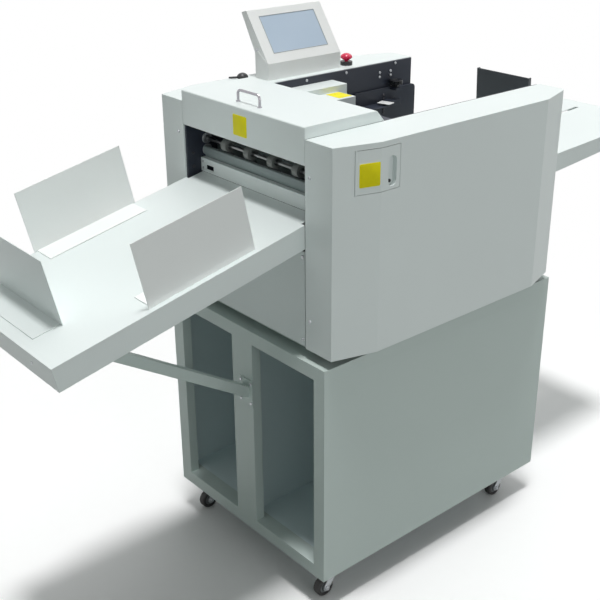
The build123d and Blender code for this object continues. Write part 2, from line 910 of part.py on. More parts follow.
# A box in a sloping plane: along it, across it, and up from it
def slab(plane, along, side, up, mode=Mode.ADD):
    with BuildSketch(plane.offset(up[0])) as footprint:
        with Locations(((along[0] + along[1]) / 2, (side[0] + side[1]) / 2)):
            Rectangle(along[1] - along[0], side[1] - side[0])
    extrude(footprint.sketch, amount=up[1] - up[0], mode=mode)


# The side plane of the tray: its second direction is the tray's own upward one
tray_side = Plane(origin=tray_plane.origin, x_dir=tray_out, z_dir=(0, 1, 0))

with BuildPart() as delivery_tray:
    wall_start = tray_wall * tan(radians(tray_slope))
    tray_pan = [(0, 0), (tray_length, 0), (tray_length, -tray_wall), (wall_start, -tray_wall)]
    prism(tray_side.offset(-tray_half), tray_pan, 2 * tray_half)
    fillet(delivery_tray.edges().filter_by(tray_plane).group_by(Axis.Z)[-1], radius=sheet / 2)
    inside = (-tray_half + sheet, tray_half - sheet)
    slab(tray_plane, (-overrun, tray_length - sheet), inside, (-tray_wall - overrun, -sheet), Mode.SUBTRACT)
    slab(tray_plane, (-tray_tongue, sheet), (-tray_tongue_half, tray_tongue_half), (-sheet, 0))
    for side in (-1, 1):
        wall_y = sorted((side * tray_tongue_half, side * (tray_tongue_half - sheet)))
        slab(tray_plane, (-tray_tongue, sheet), wall_y, (-tray_tongue_wall, 0))
save(delivery_tray, "delivery_tray")


# A bent plate that stands on the tray: an upright and a foot, both clear of the tray by a seam
def bent_plate(along, side, foot_along, foot_side):
    slab(tray_plane, along, side, (seam, guide_height))
    slab(tray_plane, foot_along, foot_side, (seam, seam + sheet))


guide_inset = (guide_length - guide_foot_length) / 2

# In the tray's plane the second direction points to -Y
with BuildPart() as delivery_guide_far:
    far_foot = (far_guide_start + guide_inset, far_guide_start + guide_length - guide_inset)
    bent_plate(
        (far_guide_start, far_guide_start + guide_length),
        (-far_guide_y, -far_guide_y + sheet),
        far_foot,
        (-far_guide_y, -far_guide_y + guide_foot),
    )
save(delivery_guide_far, "delivery_guide_far")

with BuildPart() as delivery_guide_near:
    near_foot = (near_guide_start + guide_inset, near_guide_start + guide_length - guide_inset)
    bent_plate(
        (near_guide_start, near_guide_start + guide_length),
        (near_guide_y - sheet, near_guide_y),
        near_foot,
        (near_guide_y - guide_foot, near_guide_y),
    )
save(delivery_guide_near, "delivery_guide_near")

with BuildPart() as end_stop:
    stop_side = (-end_stop_y - guide_length / 2, -end_stop_y + guide_length / 2)
    foot_side = (stop_side[0] + guide_inset, stop_side[1] - guide_inset)
    bent_plate(
        (end_stop_start, end_stop_start + sheet),
        stop_side,
        (end_stop_start, end_stop_start + guide_foot),
        foot_side,
    )
save(end_stop, "end_stop")

# Strut: a square tube from the cabinet's centre post up to a pad under the tray
with BuildPart() as tray_strut:
    rise = tan(radians(strut_rise))
    half_cut = strut_tube / 2 / cos(radians(strut_rise))
    pad_w = -sheet - strut_plate
    pad_point = tray_plane.from_local_coords((strut_head_start, 0, pad_w))
    fall = tan(radians(tray_slope))
    start_x = front - strut_plate / 2

    # Height of a line of the tube, and of the pad's lower face, at a place along X
    def reach(offset_z):
        level = pad_point.Z - fall * (pad_point.X - front)
        return front - (level - strut_foot_z - offset_z) / (rise + fall)

    def tube_point(x, offset_z):
        return (x, strut_foot_z + offset_z + rise * (front - x))

    def tube_outline(half):
        high_x = reach(half)
        low_x = reach(-half)
        return [
            tube_point(start_x, -half),
            tube_point(start_x, half),
            tube_point(high_x, half),
            tube_point(low_x, -half),
        ]

    prism(across(-strut_y + strut_tube / 2), tube_outline(half_cut), strut_tube)
    bore_half = half_cut - strut_wall / cos(radians(strut_rise))
    bore_width = strut_tube - 2 * strut_wall
    prism(across(-strut_y + bore_width / 2), tube_outline(bore_half), bore_width, Mode.SUBTRACT)
    pad_side = (strut_y - strut_plate_width / 2, strut_y + strut_plate_width / 2)
    slab(tray_plane, (strut_head_start, strut_head_start + strut_head_length), pad_side, (pad_w, -sheet))
    foot_y_span = (-strut_y - strut_plate_width / 2, -strut_y + strut_plate_width / 2)
    foot_z_span = (strut_foot_z - strut_plate_height / 2, strut_foot_z + strut_plate_height / 2)
    block((front - strut_plate, front), foot_y_span, foot_z_span)
save(tray_strut, "tray_strut")

# Step box across the delivery opening, with a small window in its front
with BuildPart() as step_box:
    step_path = [
        (front + step_front, step_low),
        (front + step_front, step_top),
        (front + step_rear, step_top),
        (front + step_rear, step_low),
    ]
    folded(across(span_half), step_path, 2 * span_half, Side.RIGHT)
    window_y = (step_window_y - step_window_width / 2, step_window_y + step_window_width / 2)
    window_z = (step_window_z - step_window_height / 2, step_window_z + step_window_height / 2)
    block((front + step_front - overrun, front + step_front + 2 * sheet), window_y, window_z, Mode.SUBTRACT)
save(step_box, "step_box")

# Paper guides: one lip before the bed, one sheet behind it that ends as the pile stop
wheel_half = wheel_pitch * (wheel_count - 1) / 2
wheel_places = [wheel_pitch * i - wheel_half for i in range(wheel_count)]

with BuildPart() as paper_guides:
    bed_front = front + crease_x - bed_width / 2
    bed_rear = front + crease_x + bed_width / 2
    lip_path = [
        (front + guide_front_x, guide_front_low),
        (front + guide_front_x, bed_top),
        (bed_front - bed_seam, bed_top),
    ]
    folded(across(span_half), lip_path, 2 * span_half, Side.RIGHT)
    rear_path = [
        (bed_rear + bed_seam, bed_top),
        (front + guide_rear_x, bed_top),
        (front + guide_rear_x, pile_stop_low),
    ]
    folded(across(span_half), rear_path, 2 * span_half, Side.RIGHT)
    with BuildSketch(Plane.XY.offset(bed_top - 2 * sheet)):
        with Locations(*[(front + infeed_x, y) for y in wheel_places]):
            Rectangle(2 * (infeed_radius + wheel_window), infeed_wheel_width + 2 * wheel_window)
    extrude(amount=overrun, mode=Mode.SUBTRACT)
save(paper_guides, "paper_guides")

# Creasing bed: the grooved bar and the two columns that guide the beam
with BuildPart() as crease_bed:
    block((bed_front, bed_rear), (-span_half, span_half), (bed_top - bed_height, bed_top))
    for side in (-1, 1):
        column_y = sorted((side * span_half, side * (span_half - column_length)))
        block((bed_front, bed_rear), column_y, (bed_top - bed_height, bed_top + column_height))
        slot_y = sorted((side * (span_half - beam_end_gap + slide_gap), side * (span_half - overrun - column_length)))
        slot_half = beam_width / 2 + slide_gap
        slot_x = (front + crease_x - slot_half, front + crease_x + slot_half)
        block(slot_x, slot_y, (bed_top, bed_top + column_height + overrun), Mode.SUBTRACT)
    groove_x = (front + crease_x - groove_width / 2, front + crease_x + groove_width / 2)
    block(groove_x, (-span_half, span_half), (bed_top - groove_depth, bed_top + sheet), Mode.SUBTRACT)
save(crease_bed, "crease_bed")

# Creasing beam: a bar with the blade below and two yokes that the cams turn in
with BuildPart() as crease_beam:
    beam_half = span_half - beam_end_gap
    beam_x = (front + crease_x - beam_width / 2, front + crease_x + beam_width / 2)
    block(beam_x, (-beam_half, beam_half), (beam_low, beam_top))
    blade_x = (front + crease_x - blade_thickness / 2, front + crease_x + blade_thickness / 2)
    blade_half = beam_half - column_length
    block(blade_x, (-blade_half, blade_half), (paper_level + blade_gap, beam_low + sheet))
    for y in (-cam_y, cam_y):
        window_low = cam_z - cam_base - seam
        window_high = cam_z + cam_peak + seam
        window_half = cam_peak + yoke_side_gap
        yoke_x = (front + crease_x - window_half - yoke_rim, front + crease_x + window_half + yoke_rim)
        yoke_y = (y - yoke_thickness / 2, y + yoke_thickness / 2)
        block(yoke_x, yoke_y, (window_low - 2 * yoke_rim, window_high + yoke_rim))
        open_x = (front + crease_x - window_half, front + crease_x + window_half)
        open_y = (yoke_y[0] - sheet, yoke_y[1] + sheet)
        block(open_x, open_y, (window_low, window_high), Mode.SUBTRACT)
save(crease_beam, "crease_beam")

# Cam shaft: the radius of each cam grows evenly over half a turn and shrinks over the other,
# so its width through the axis never changes and the yoke is driven both ways
with BuildPart() as cam_shaft:
    shaft_half = inner_half + plate - shaft_end
    rod(across(shaft_half), (front + crease_x, cam_z), shaft_radius, 2 * shaft_half)
    for y in (-cam_y, cam_y):
        half_cam = []
        for i in range(cam_steps + 1):
            turn = pi * i / cam_steps
            radius = cam_base + crease_stroke * i / cam_steps
            half_cam.append((radius * sin(turn), -radius * cos(turn)))
        right = [(front + crease_x + px, cam_z + pz) for px, pz in half_cam]
        left = [(front + crease_x - px, cam_z + pz) for px, pz in half_cam]
        with BuildSketch(across(y + cam_width / 2)):
            with BuildLine():
                Spline(*right)
                Spline(*left)
            make_face()
        extrude(amount=cam_width)
save(cam_shaft, "cam_shaft")


# A roller shaft: the journals run in the bushes, and the wheels sit on it at an even pitch
def roller_shaft(place, radius, width, pulley):
    end = inner_half + plate - shaft_end
    rod(across(end), place, shaft_radius, 2 * end)
    for y in wheel_places:
        rod(across(y + width / 2), place, radius, width)
    if pulley:
        low = pulley_y - pulley_width / 2
        high = pulley_y + pulley_width / 2
        rod(across(high), place, shaft_radius, high - end)
        rod(across(high), place, pulley_radius, pulley_width)
        for y in (low, high + pulley_rim):
            rod(across(y), place, pulley_radius + belt_thickness, pulley_rim)


rollers = {
    "exit_shaft_upper": (shaft_places[0], exit_top_radius, exit_wheel_width, False),
    "exit_shaft_lower": (shaft_places[1], exit_low_radius, exit_wheel_width, True),
    "infeed_shaft_upper": (shaft_places[2], infeed_radius, infeed_wheel_width, False),
    "infeed_shaft_lower": (shaft_places[3], infeed_radius, infeed_wheel_width, True),
}
for name, (place, radius, width, pulley) in rollers.items():
    with BuildPart() as shaft:
        roller_shaft(place, radius, width, pulley)
    save(shaft, name)

# Belt drive: motor with its pulley, and the belt round the three pulleys
with BuildPart() as belt_drive:
    motor_face = span_half
    pulley_high = pulley_y + pulley_width / 2
    wraps = [
        (shaft_places[1], pulley_radius + seam),
        (shaft_places[3], pulley_radius + seam),
        (motor_place, motor_pulley_radius + seam),
    ]
    for growth, mode in ((belt_thickness, Mode.ADD), (0, Mode.SUBTRACT)):
        with BuildSketch(across(pulley_y + belt_width / 2)):
            for centre, radius in wraps:
                with Locations(centre):
                    Circle(radius + growth)
            make_hull()
        extrude(amount=belt_width, mode=mode)
    with BuildSketch(across(motor_face)):
        with Locations(motor_place):
            RectangleRounded(motor_size, motor_size, motor_corner)
    extrude(amount=motor_length)
    rod(across(pulley_high), motor_place, motor_shaft, pulley_high - motor_face)
    rod(across(pulley_high), motor_place, motor_pulley_radius, pulley_width)
save(belt_drive, "belt_drive")

# Suction feeder: a shallow box with three belts round it, on two cross bars
with BuildPart() as suction_box:
    suction_x = (front + suction_start, front + suction_end)
    block(suction_x, (-suction_half, suction_half), (suction_low, suction_top))
    hollow_x = (suction_x[0] + suction_wall, suction_x[1] - suction_wall)
    hollow_y = (-suction_half + suction_wall, suction_half - suction_wall)
    block(hollow_x, hollow_y, (suction_low + suction_wall, suction_top - suction_wall), Mode.SUBTRACT)
    bars = (suction_bar_x, suction_end - suction_bar_x + suction_start - suction_bar_width)
    for x in bars:
        for side in (-1, 1):
            bar_y = sorted((side * span_half, side * (suction_half - suction_wall / 2)))
            block((front + x, front + x + suction_bar_width), bar_y, (suction_bar_low, suction_bar_top))
    half_count = (belt_band_count - 1) / 2
    for i in range(belt_band_count):
        y = (i - half_count) * belt_band_pitch
        with BuildSketch(across(y + belt_band / 2)):
            with Locations((front + (suction_start + suction_end) / 2, suction_low)):
                SlotOverall(suction_end - suction_start, 2 * belt_band_drop)
        extrude(amount=belt_band)
save(suction_box, "suction_box")

# Blower housing: two stepped boxes beside the feeder, open underneath
with BuildPart() as blower_housing:
    tall_x = (front + blower_start, front + blower_tall_end)
    low_x = (front + blower_start, front + blower_low_end)
    block(tall_x, (blower_tall_y, span_half), (suction_bar_top, blower_tall_top))
    block(low_x, (blower_low_y, blower_tall_y), (suction_bar_top, blower_low_top))
    fillet(blower_housing.edges().filter_by(Axis.Z).group_by(Axis.X)[-1], radius=bend)
    mouth = blower_housing.faces().sort_by(Axis.Z)[0]
    offset(amount=-sheet, openings=mouth)
save(blower_housing, "blower_housing")

# Feed table: an inverted pan whose walls taper, with a slot for the tail stop
table_out = Vector(cos(radians(table_slope)), 0, sin(radians(table_slope)))
table_up = Vector(-sin(radians(table_slope)), 0, cos(radians(table_slope)))
table_plane = Plane(origin=(front + table_start, 0, table_start_z), x_dir=table_out, z_dir=table_up)
table_side = Plane(origin=table_plane.origin, x_dir=table_out, z_dir=(0, -1, 0))
table_length = (table_reach - table_start) / cos(radians(table_slope))

with BuildPart() as feed_table:
    pan = [(0, 0), (table_length, 0), (table_length, -table_end_wall), (0, -table_wall)]
    prism(table_side.offset(-table_half), pan, 2 * table_half)
    inner_pan = [
        (sheet, -sheet),
        (table_length - sheet, -sheet),
        (table_length - sheet, -table_wall - overrun),
        (sheet, -table_wall - overrun),
    ]
    prism(table_side.offset(-table_half + sheet), inner_pan, 2 * (table_half - sheet), Mode.SUBTRACT)
    slot_along = (table_slot_start, table_slot_end)
    slab(table_plane, slot_along, (-table_slot_half, table_slot_half), (-2 * sheet, sheet), Mode.SUBTRACT)
save(feed_table, "feed_table")

# Lift plate under the pile, welded to the carriage that climbs the rods
with BuildPart() as feed_lift_plate:
    lift_along = (lift_plate_start - table_start, -sheet / 2)
    slab(table_plane, lift_along, (-lift_plate_half, lift_plate_half), (-lift_plate_sheet, 0))
    for side in (-1, 1):
        wall_y = sorted((side * lift_plate_half, side * (lift_plate_half - lift_plate_sheet)))
        slab(table_plane, lift_along, wall_y, (-lift_plate_wall, 0))
    end_along = (-sheet / 2 - lift_plate_sheet, 0)
    slab(table_plane, end_along, (-lift_plate_half, lift_plate_half), (-lift_plate_wall, 0))
    beam_span = (lift_beam_low, lift_beam_low + lift_beam)
    beam_along = (front + lift_x - lift_beam / 2, front + lift_x + lift_beam / 2)
    block(beam_along, (-lift_rod_y, lift_rod_y), beam_span)
    sleeve_low = lift_beam_low - lift_sleeve_over
    sleeve_height = lift_beam + 2 * lift_sleeve_over
    lift_places = [(front + lift_x, -lift_rod_y), (front + lift_x, lift_rod_y)]
    with BuildSketch(Plane.XY.offset(sleeve_low)):
        with Locations(*lift_places):
            Circle(lift_sleeve)
        with Locations((front + lift_x, 0)):
            Circle(lift_nut)
    extrude(amount=sleeve_height)
    with BuildSketch(Plane.XY.offset(sleeve_low - overrun)):
        with Locations(*lift_places, (front + lift_x, 0)):
            Circle(lift_rod + running)
    extrude(amount=sleeve_height + 2 * overrun, mode=Mode.SUBTRACT)
    upright_x = (front + lift_x - lift_upright_width / 2, front + lift_x + lift_upright_width / 2)
    under = [
        table_start_z + (x - front - table_start) * tan(radians(table_slope)) - lift_plate_sheet / 2
        for x in upright_x
    ]
    upright = [
        (upright_x[0], lift_beam_low),
        (upright_x[1], lift_beam_low),
        (upright_x[1], under[1]),
        (upright_x[0], under[0]),
    ]
    for y in (-lift_upright_y, lift_upright_y):
        prism(across(y + lift_upright / 2), upright, lift_upright)
save(feed_lift_plate, "feed_lift_plate")

# Lift drive: two guide rods in brackets on the frame plates, and the motor on the base
with BuildPart() as lift_drive:
    for side in (-1, 1):
        rod(Plane.XY.offset(lift_rod_low), (front + lift_x, side * lift_rod_y), lift_rod,
            lift_rod_high - lift_rod_low)
        bracket_x = (front + lift_x - lift_bracket / 2, front + lift_x + lift_bracket / 2)
        bracket_y = sorted((side * (lift_rod_y - lift_bracket_reach), side * span_half))
        for z in (lift_rod_low, lift_rod_high - lift_bracket_height):
            block(bracket_x, bracket_y, (z, z + lift_bracket_height))
    motor_top = plate_low + lift_motor_height
    with BuildSketch(Plane.XY.offset(plate_low)):
        with Locations((front + lift_x, 0)):
            RectangleRounded(lift_motor_size, lift_motor_size, lift_motor_corner)
    extrude(amount=lift_motor_height)
    rod(Plane.XY.offset(motor_top - lift_screw_depth), (front + lift_x, 0), lift_rod + running,
        lift_screw_depth, Mode.SUBTRACT)
save(lift_drive, "lift_drive")

with BuildPart() as lift_screw:
    screw_low = motor_top - lift_screw_depth + lift_screw_end
    rod(Plane.XY.offset(screw_low), (front + lift_x, 0), lift_rod, lift_screw_high - screw_low)
    chamfer(lift_screw.edges().group_by(Axis.Z)[-1], length=lift_screw_end)
save(lift_screw, "lift_screw")

# Tail stop: a channel on a foot, held by a stud through the table's slot
with BuildPart() as tail_stop:
    tail_side = (tail_y - tail_half, tail_y + tail_half)
    slab(table_plane, (tail_start, tail_start + tail_sheet), tail_side, (seam, tail_height))
    for side in (-1, 1):
        edge = tail_y + side * tail_half
        flange_side = sorted((edge, edge - side * tail_sheet))
        slab(table_plane, (tail_start, tail_start + tail_flange), flange_side, (seam, tail_height))
    foot_span = (tail_start, tail_start + tail_foot)
    slab(table_plane, foot_span, (-tail_foot_half, tail_foot_half), (seam, seam + tail_sheet))
    stud = (tail_start + tail_stem_x, 0)
    nut_top = -sheet - seam
    rod(table_plane.offset(nut_top - tail_nut_height), stud, tail_stem, tail_nut_height - nut_top + tail_sheet)
    rod(table_plane.offset(nut_top - tail_nut_height), stud, tail_nut, tail_nut_height)
save(tail_stop, "tail_stop")


# Side guides of the pile: a face sheet, a thick block with two pins, an air nozzle and a lug
def pile_guide(side):
    face = side * pile_guide_face
    sheet_y = sorted((face, side * (pile_guide_face + pile_sheet)))
    block_y = sorted((face, side * (pile_guide_face + pile_block_thickness)))
    start = front + pile_guide_start
    middle = front + pile_block_start
    end = front + pile_guide_end
    block((start, middle + pile_sheet), sheet_y, (pile_guide_low, pile_guide_top))
    with BuildSketch(across(block_y[1])) as thick:
        with BuildLine():
            Polyline((middle, pile_block_top), (middle, pile_guide_low), (end, pile_guide_low),
                     (end, pile_block_top), close=True)
        make_face()
        corner = thick.vertices().sort_by(Axis.Y)[-2:].sort_by(Axis.X)[-1]
        fillet(corner, radius=pile_block_corner)
    extrude(thick.sketch, amount=pile_block_thickness)
    ledge_y = sorted((sheet_y[0], sheet_y[1], side * (pile_guide_face - pile_ledge_reach)))
    ledge_x = (front + pile_ledge_start, front + pile_ledge_end)
    block(ledge_x, (ledge_y[0], ledge_y[-1]), (pile_ledge_low, pile_ledge_top))
    lug_x = (front + knob_x - knob_lug, middle + pile_sheet)
    lug_y = sorted((sheet_y[0], sheet_y[1], side * (knob_y - knob_lug)))
    lug_low = pile_guide_top - knob_lug_thickness
    block(lug_x, (lug_y[0], lug_y[-1]), (lug_low, pile_guide_top))
    pin_start = pile_guide_face + pile_block_thickness / 2
    pin_high = max(side * pin_start, side * pile_pin_end)
    for place in pile_pins:
        rod(across(pin_high), place, pile_pin, pile_pin_end - pin_start)
    rod(Plane.XY.offset(lug_low - overrun), (front + knob_x, side * knob_y), knob_stem + running,
        knob_lug_thickness + 2 * overrun, Mode.SUBTRACT)


# Clamp knob on a guide's lug, with a waist under its head
def guide_knob(side):
    centre = (front + knob_x, side * knob_y)
    low = pile_guide_top + seam
    waist = knob_height * knob_waist_share
    rod(Plane.XY.offset(low - knob_stem_length), centre, knob_stem, knob_stem_length + knob_crown)
    rod(Plane.XY.offset(low), centre, knob_waist, knob_height)
    rod(Plane.XY.offset(low + waist), centre, knob_radius, knob_height - waist)


with BuildPart() as feed_guide_near:
    pile_guide(-1)
save(feed_guide_near, "feed_guide_near")

with BuildPart() as feed_guide_far:
    pile_guide(1)
save(feed_guide_far, "feed_guide_far")

with BuildPart() as guide_knob_near:
    guide_knob(-1)
    chamfer(guide_knob_near.edges().group_by(Axis.Z)[-1], length=knob_crown)
save(guide_knob_near, "guide_knob_near")

with BuildPart() as guide_knob_far:
    guide_knob(1)
    chamfer(guide_knob_far.edges().group_by(Axis.Z)[-1], length=knob_crown)
save(guide_knob_far, "guide_knob_far")

# Console: a wedge that leans back, with the screen let into its sloping face
console_outline = [
    (console_front_y, cover_top),
    (console_front_y, console_kink_z),
    (console_peak_y, console_peak_z),
    (console_back_y, console_back_z),
    (console_waist_y, console_waist_z),
    (console_foot_y, cover_top),
]
screen_lean = atan2(console_peak_y - console_front_y, console_peak_z - console_kink_z)
screen_rise = screen_margin + screen_height / 2
screen_plane = Plane(
    origin=(
        front + console_start + console_width / 2,
        console_front_y + screen_rise * sin(screen_lean),
        console_kink_z + screen_rise * cos(screen_lean),
    ),
    x_dir=(1, 0, 0),
    z_dir=(0, -cos(screen_lean), sin(screen_lean)),
)

with BuildPart() as console_housing:
    prism(Plane.YZ.offset(front + console_start), console_outline, console_width)
    floor_face = console_housing.faces().sort_by(Axis.Z)[0]
    offset(amount=-console_wall, openings=floor_face, kind=Kind.INTERSECTION)
    rear_edges = console_housing.edges().filter_by(Axis.X).group_by(Axis.Z)[-1]
    fillet(rear_edges, radius=console_edge)
    with BuildSketch(screen_plane.offset(-screen_depth)):
        Rectangle(screen_width, screen_height)
    extrude(amount=screen_depth + overrun, mode=Mode.SUBTRACT)
    with BuildSketch(screen_plane.offset(-screen_depth - console_wall)):
        Rectangle(screen_width + 2 * console_wall, screen_height + 2 * console_wall)
    extrude(amount=console_wall)
save(console_housing, "console_housing")

with BuildPart() as console_screen:
    with BuildSketch(screen_plane.offset(-screen_depth)):
        Rectangle(screen_width - 2 * screen_gap, screen_height - 2 * screen_gap)
    extrude(amount=screen_depth - screen_gap)
save(console_screen, "console_screen")

# Radius of a dome from the radius of its rim and its rise
def dome_radius(rim, rise):
    return (rim * rim + rise * rise) / (2 * rise)


# Emergency stop: base and barrel in the cover, and a mushroom that is pushed down
with BuildPart() as stop_button_base:
    rod(Plane.XY.offset(cover_top), stop_place, stop_base, stop_base_height)
    rod(Plane.XY.offset(cover_top - stop_barrel_depth), stop_place, stop_barrel, stop_barrel_depth)
    rod(Plane.XY.offset(cover_top + stop_base_height - stop_stem_depth - stop_travel - sheet), stop_place,
        stop_stem + running, stop_stem_depth + stop_travel + overrun, Mode.SUBTRACT)
save(stop_button_base, "stop_button_base")

with BuildPart() as stop_button:
    cap_low = cover_top + stop_base_height + stop_travel + seam
    cap_top = cap_low + stop_cap_height
    cap_edge = cap_top - stop_dome
    stem_low = cover_top + stop_base_height - stop_stem_depth
    centre_x = front + stop_x
    with BuildSketch(Plane.XZ.offset(-stop_y)):
        with BuildLine():
            Polyline(
                (centre_x, cap_top),
                (centre_x, stem_low),
                (centre_x + stop_stem, stem_low),
                (centre_x + stop_stem, cap_low),
                (centre_x + stop_neck, cap_low),
                (centre_x + stop_cap, cap_edge - stop_rim),
                (centre_x + stop_cap, cap_edge),
            )
            RadiusArc((centre_x, cap_top), (centre_x + stop_cap, cap_edge), dome_radius(stop_cap, stop_dome))
        make_face()
    revolve(axis=Axis((centre_x, stop_y, 0), (0, 0, 1)))
save(stop_button, "stop_button")

# Air control: a low domed knob on a stem
with BuildPart() as air_knob:
    knob_low = cover_top + seam
    knob_top = knob_low + air_knob_height
    knob_edge = knob_top - air_knob_dome
    knob_x_place = front + air_knob_x
    with BuildSketch(Plane.XZ.offset(-air_knob_y)):
        with BuildLine():
            Polyline(
                (knob_x_place, knob_top),
                (knob_x_place, cover_top - air_knob_stem_length),
                (knob_x_place + air_knob_stem, cover_top - air_knob_stem_length),
                (knob_x_place + air_knob_stem, knob_low),
                (knob_x_place + air_knob_radius, knob_low),
                (knob_x_place + air_knob_radius, knob_edge),
            )
            RadiusArc(
                (knob_x_place, knob_top),
                (knob_x_place + air_knob_radius, knob_edge),
                dome_radius(air_knob_radius, air_knob_dome),
            )
        make_face()
    revolve(axis=Axis((knob_x_place, air_knob_y, 0), (0, 0, 1)))
save(air_knob, "air_knob")
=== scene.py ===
import json
from math import cos, pi, radians, sin

import bmesh
import bpy
from mathutils import Matrix, Vector


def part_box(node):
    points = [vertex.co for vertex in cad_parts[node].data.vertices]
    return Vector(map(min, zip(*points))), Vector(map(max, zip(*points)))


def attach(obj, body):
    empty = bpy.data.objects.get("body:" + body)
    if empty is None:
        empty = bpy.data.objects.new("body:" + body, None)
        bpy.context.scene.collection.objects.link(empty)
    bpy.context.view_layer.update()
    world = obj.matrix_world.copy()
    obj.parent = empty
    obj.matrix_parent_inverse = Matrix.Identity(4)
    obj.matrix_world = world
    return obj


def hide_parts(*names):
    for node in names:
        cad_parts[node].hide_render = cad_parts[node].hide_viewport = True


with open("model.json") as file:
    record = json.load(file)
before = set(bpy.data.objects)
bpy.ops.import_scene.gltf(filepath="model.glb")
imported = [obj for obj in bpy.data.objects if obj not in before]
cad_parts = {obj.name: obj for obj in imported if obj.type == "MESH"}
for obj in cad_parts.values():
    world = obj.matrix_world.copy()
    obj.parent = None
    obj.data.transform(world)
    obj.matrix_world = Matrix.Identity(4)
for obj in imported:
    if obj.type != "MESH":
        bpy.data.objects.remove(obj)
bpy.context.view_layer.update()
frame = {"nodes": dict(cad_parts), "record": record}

# Everything below is in metres, in the machine's own frame. X counts from the cabinet's front face.
frontX = -0.3565
plateFace = 0.212  # inner face of each frame plate, from the middle
axleHeight = 0.025  # castor axles above the floor
hair = 1e-5  # less than the thinnest rim, more than rounding
upright = 0.9  # a face whose normal rises more than this looks up
smoothAngle = radians(32.0)  # sharper folds keep their edge
doubled = 1e-6  # vertices this close are one

# Directions from the machine's middle, with the delivery tray in front
front, rear = (-1, 0, 0), (1, 0, 0)
near, far = (0, -1, 0), (0, 1, 0)
up, down = (0, 0, 1), (0, 0, -1)

# Roller axles: place, radius where the rubber begins, radius of the bush's flange
axles = dict(
    exit_shaft_upper=dict(x=0.072, z=1.05315, core=0.0075, flange=0.0132),
    exit_shaft_lower=dict(x=0.072, z=1.02585, core=0.0070, flange=0.0132),
    infeed_shaft_upper=dict(x=0.215, z=1.05315, core=0.0075, flange=0.0132),
    infeed_shaft_lower=dict(x=0.215, z=1.02285, core=0.0075, flange=0.0112),
)

# Castors: place of the wheel's middle, and the name of its finish
castors = dict(
    front_near=dict(x=0.044, y=-0.240, finish="frontNearWheel"),
    front_far=dict(x=0.044, y=0.240, finish="frontFarWheel"),
    rear_near=dict(x=0.682, y=-0.240, finish="rearNearWheel"),
    rear_far=dict(x=0.682, y=0.240, finish="rearFarWheel"),
)


# Shader maths

class Wire:
    # one output socket, with Python's signs for the maths done on it
    def __init__(self, paint, socket):
        self.paint = paint
        self.socket = socket

    def combine(self, operation, first, second=0.0):
        return self.paint.node("ShaderNodeMath", {"operation": operation}, {0: first, 1: second})

    def __add__(self, other):
        return self.combine("ADD", self, other)

    def __radd__(self, other):
        return self.combine("ADD", other, self)

    def __sub__(self, other):
        return self.combine("SUBTRACT", self, other)

    def __rsub__(self, other):
        return self.combine("SUBTRACT", other, self)

    def __mul__(self, other):
        return self.combine("MULTIPLY", self, other)

    def __rmul__(self, other):
        return self.combine("MULTIPLY", other, self)

    def __truediv__(self, other):
        return self.combine("DIVIDE", self, other)

    def __pow__(self, other):
        return self.combine("POWER", self, other)

    def __gt__(self, other):
        return self.combine("GREATER_THAN", self, other)

    def __lt__(self, other):
        return self.combine("LESS_THAN", self, other)

    def __abs__(self):
        return self.combine("ABSOLUTE", self)

    def bigger(self, other):
        return self.combine("MAXIMUM", self, other)

    def smaller(self, other):
        return self.combine("MINIMUM", self, other)

    def fraction(self):
        return self.combine("FRACT", self)


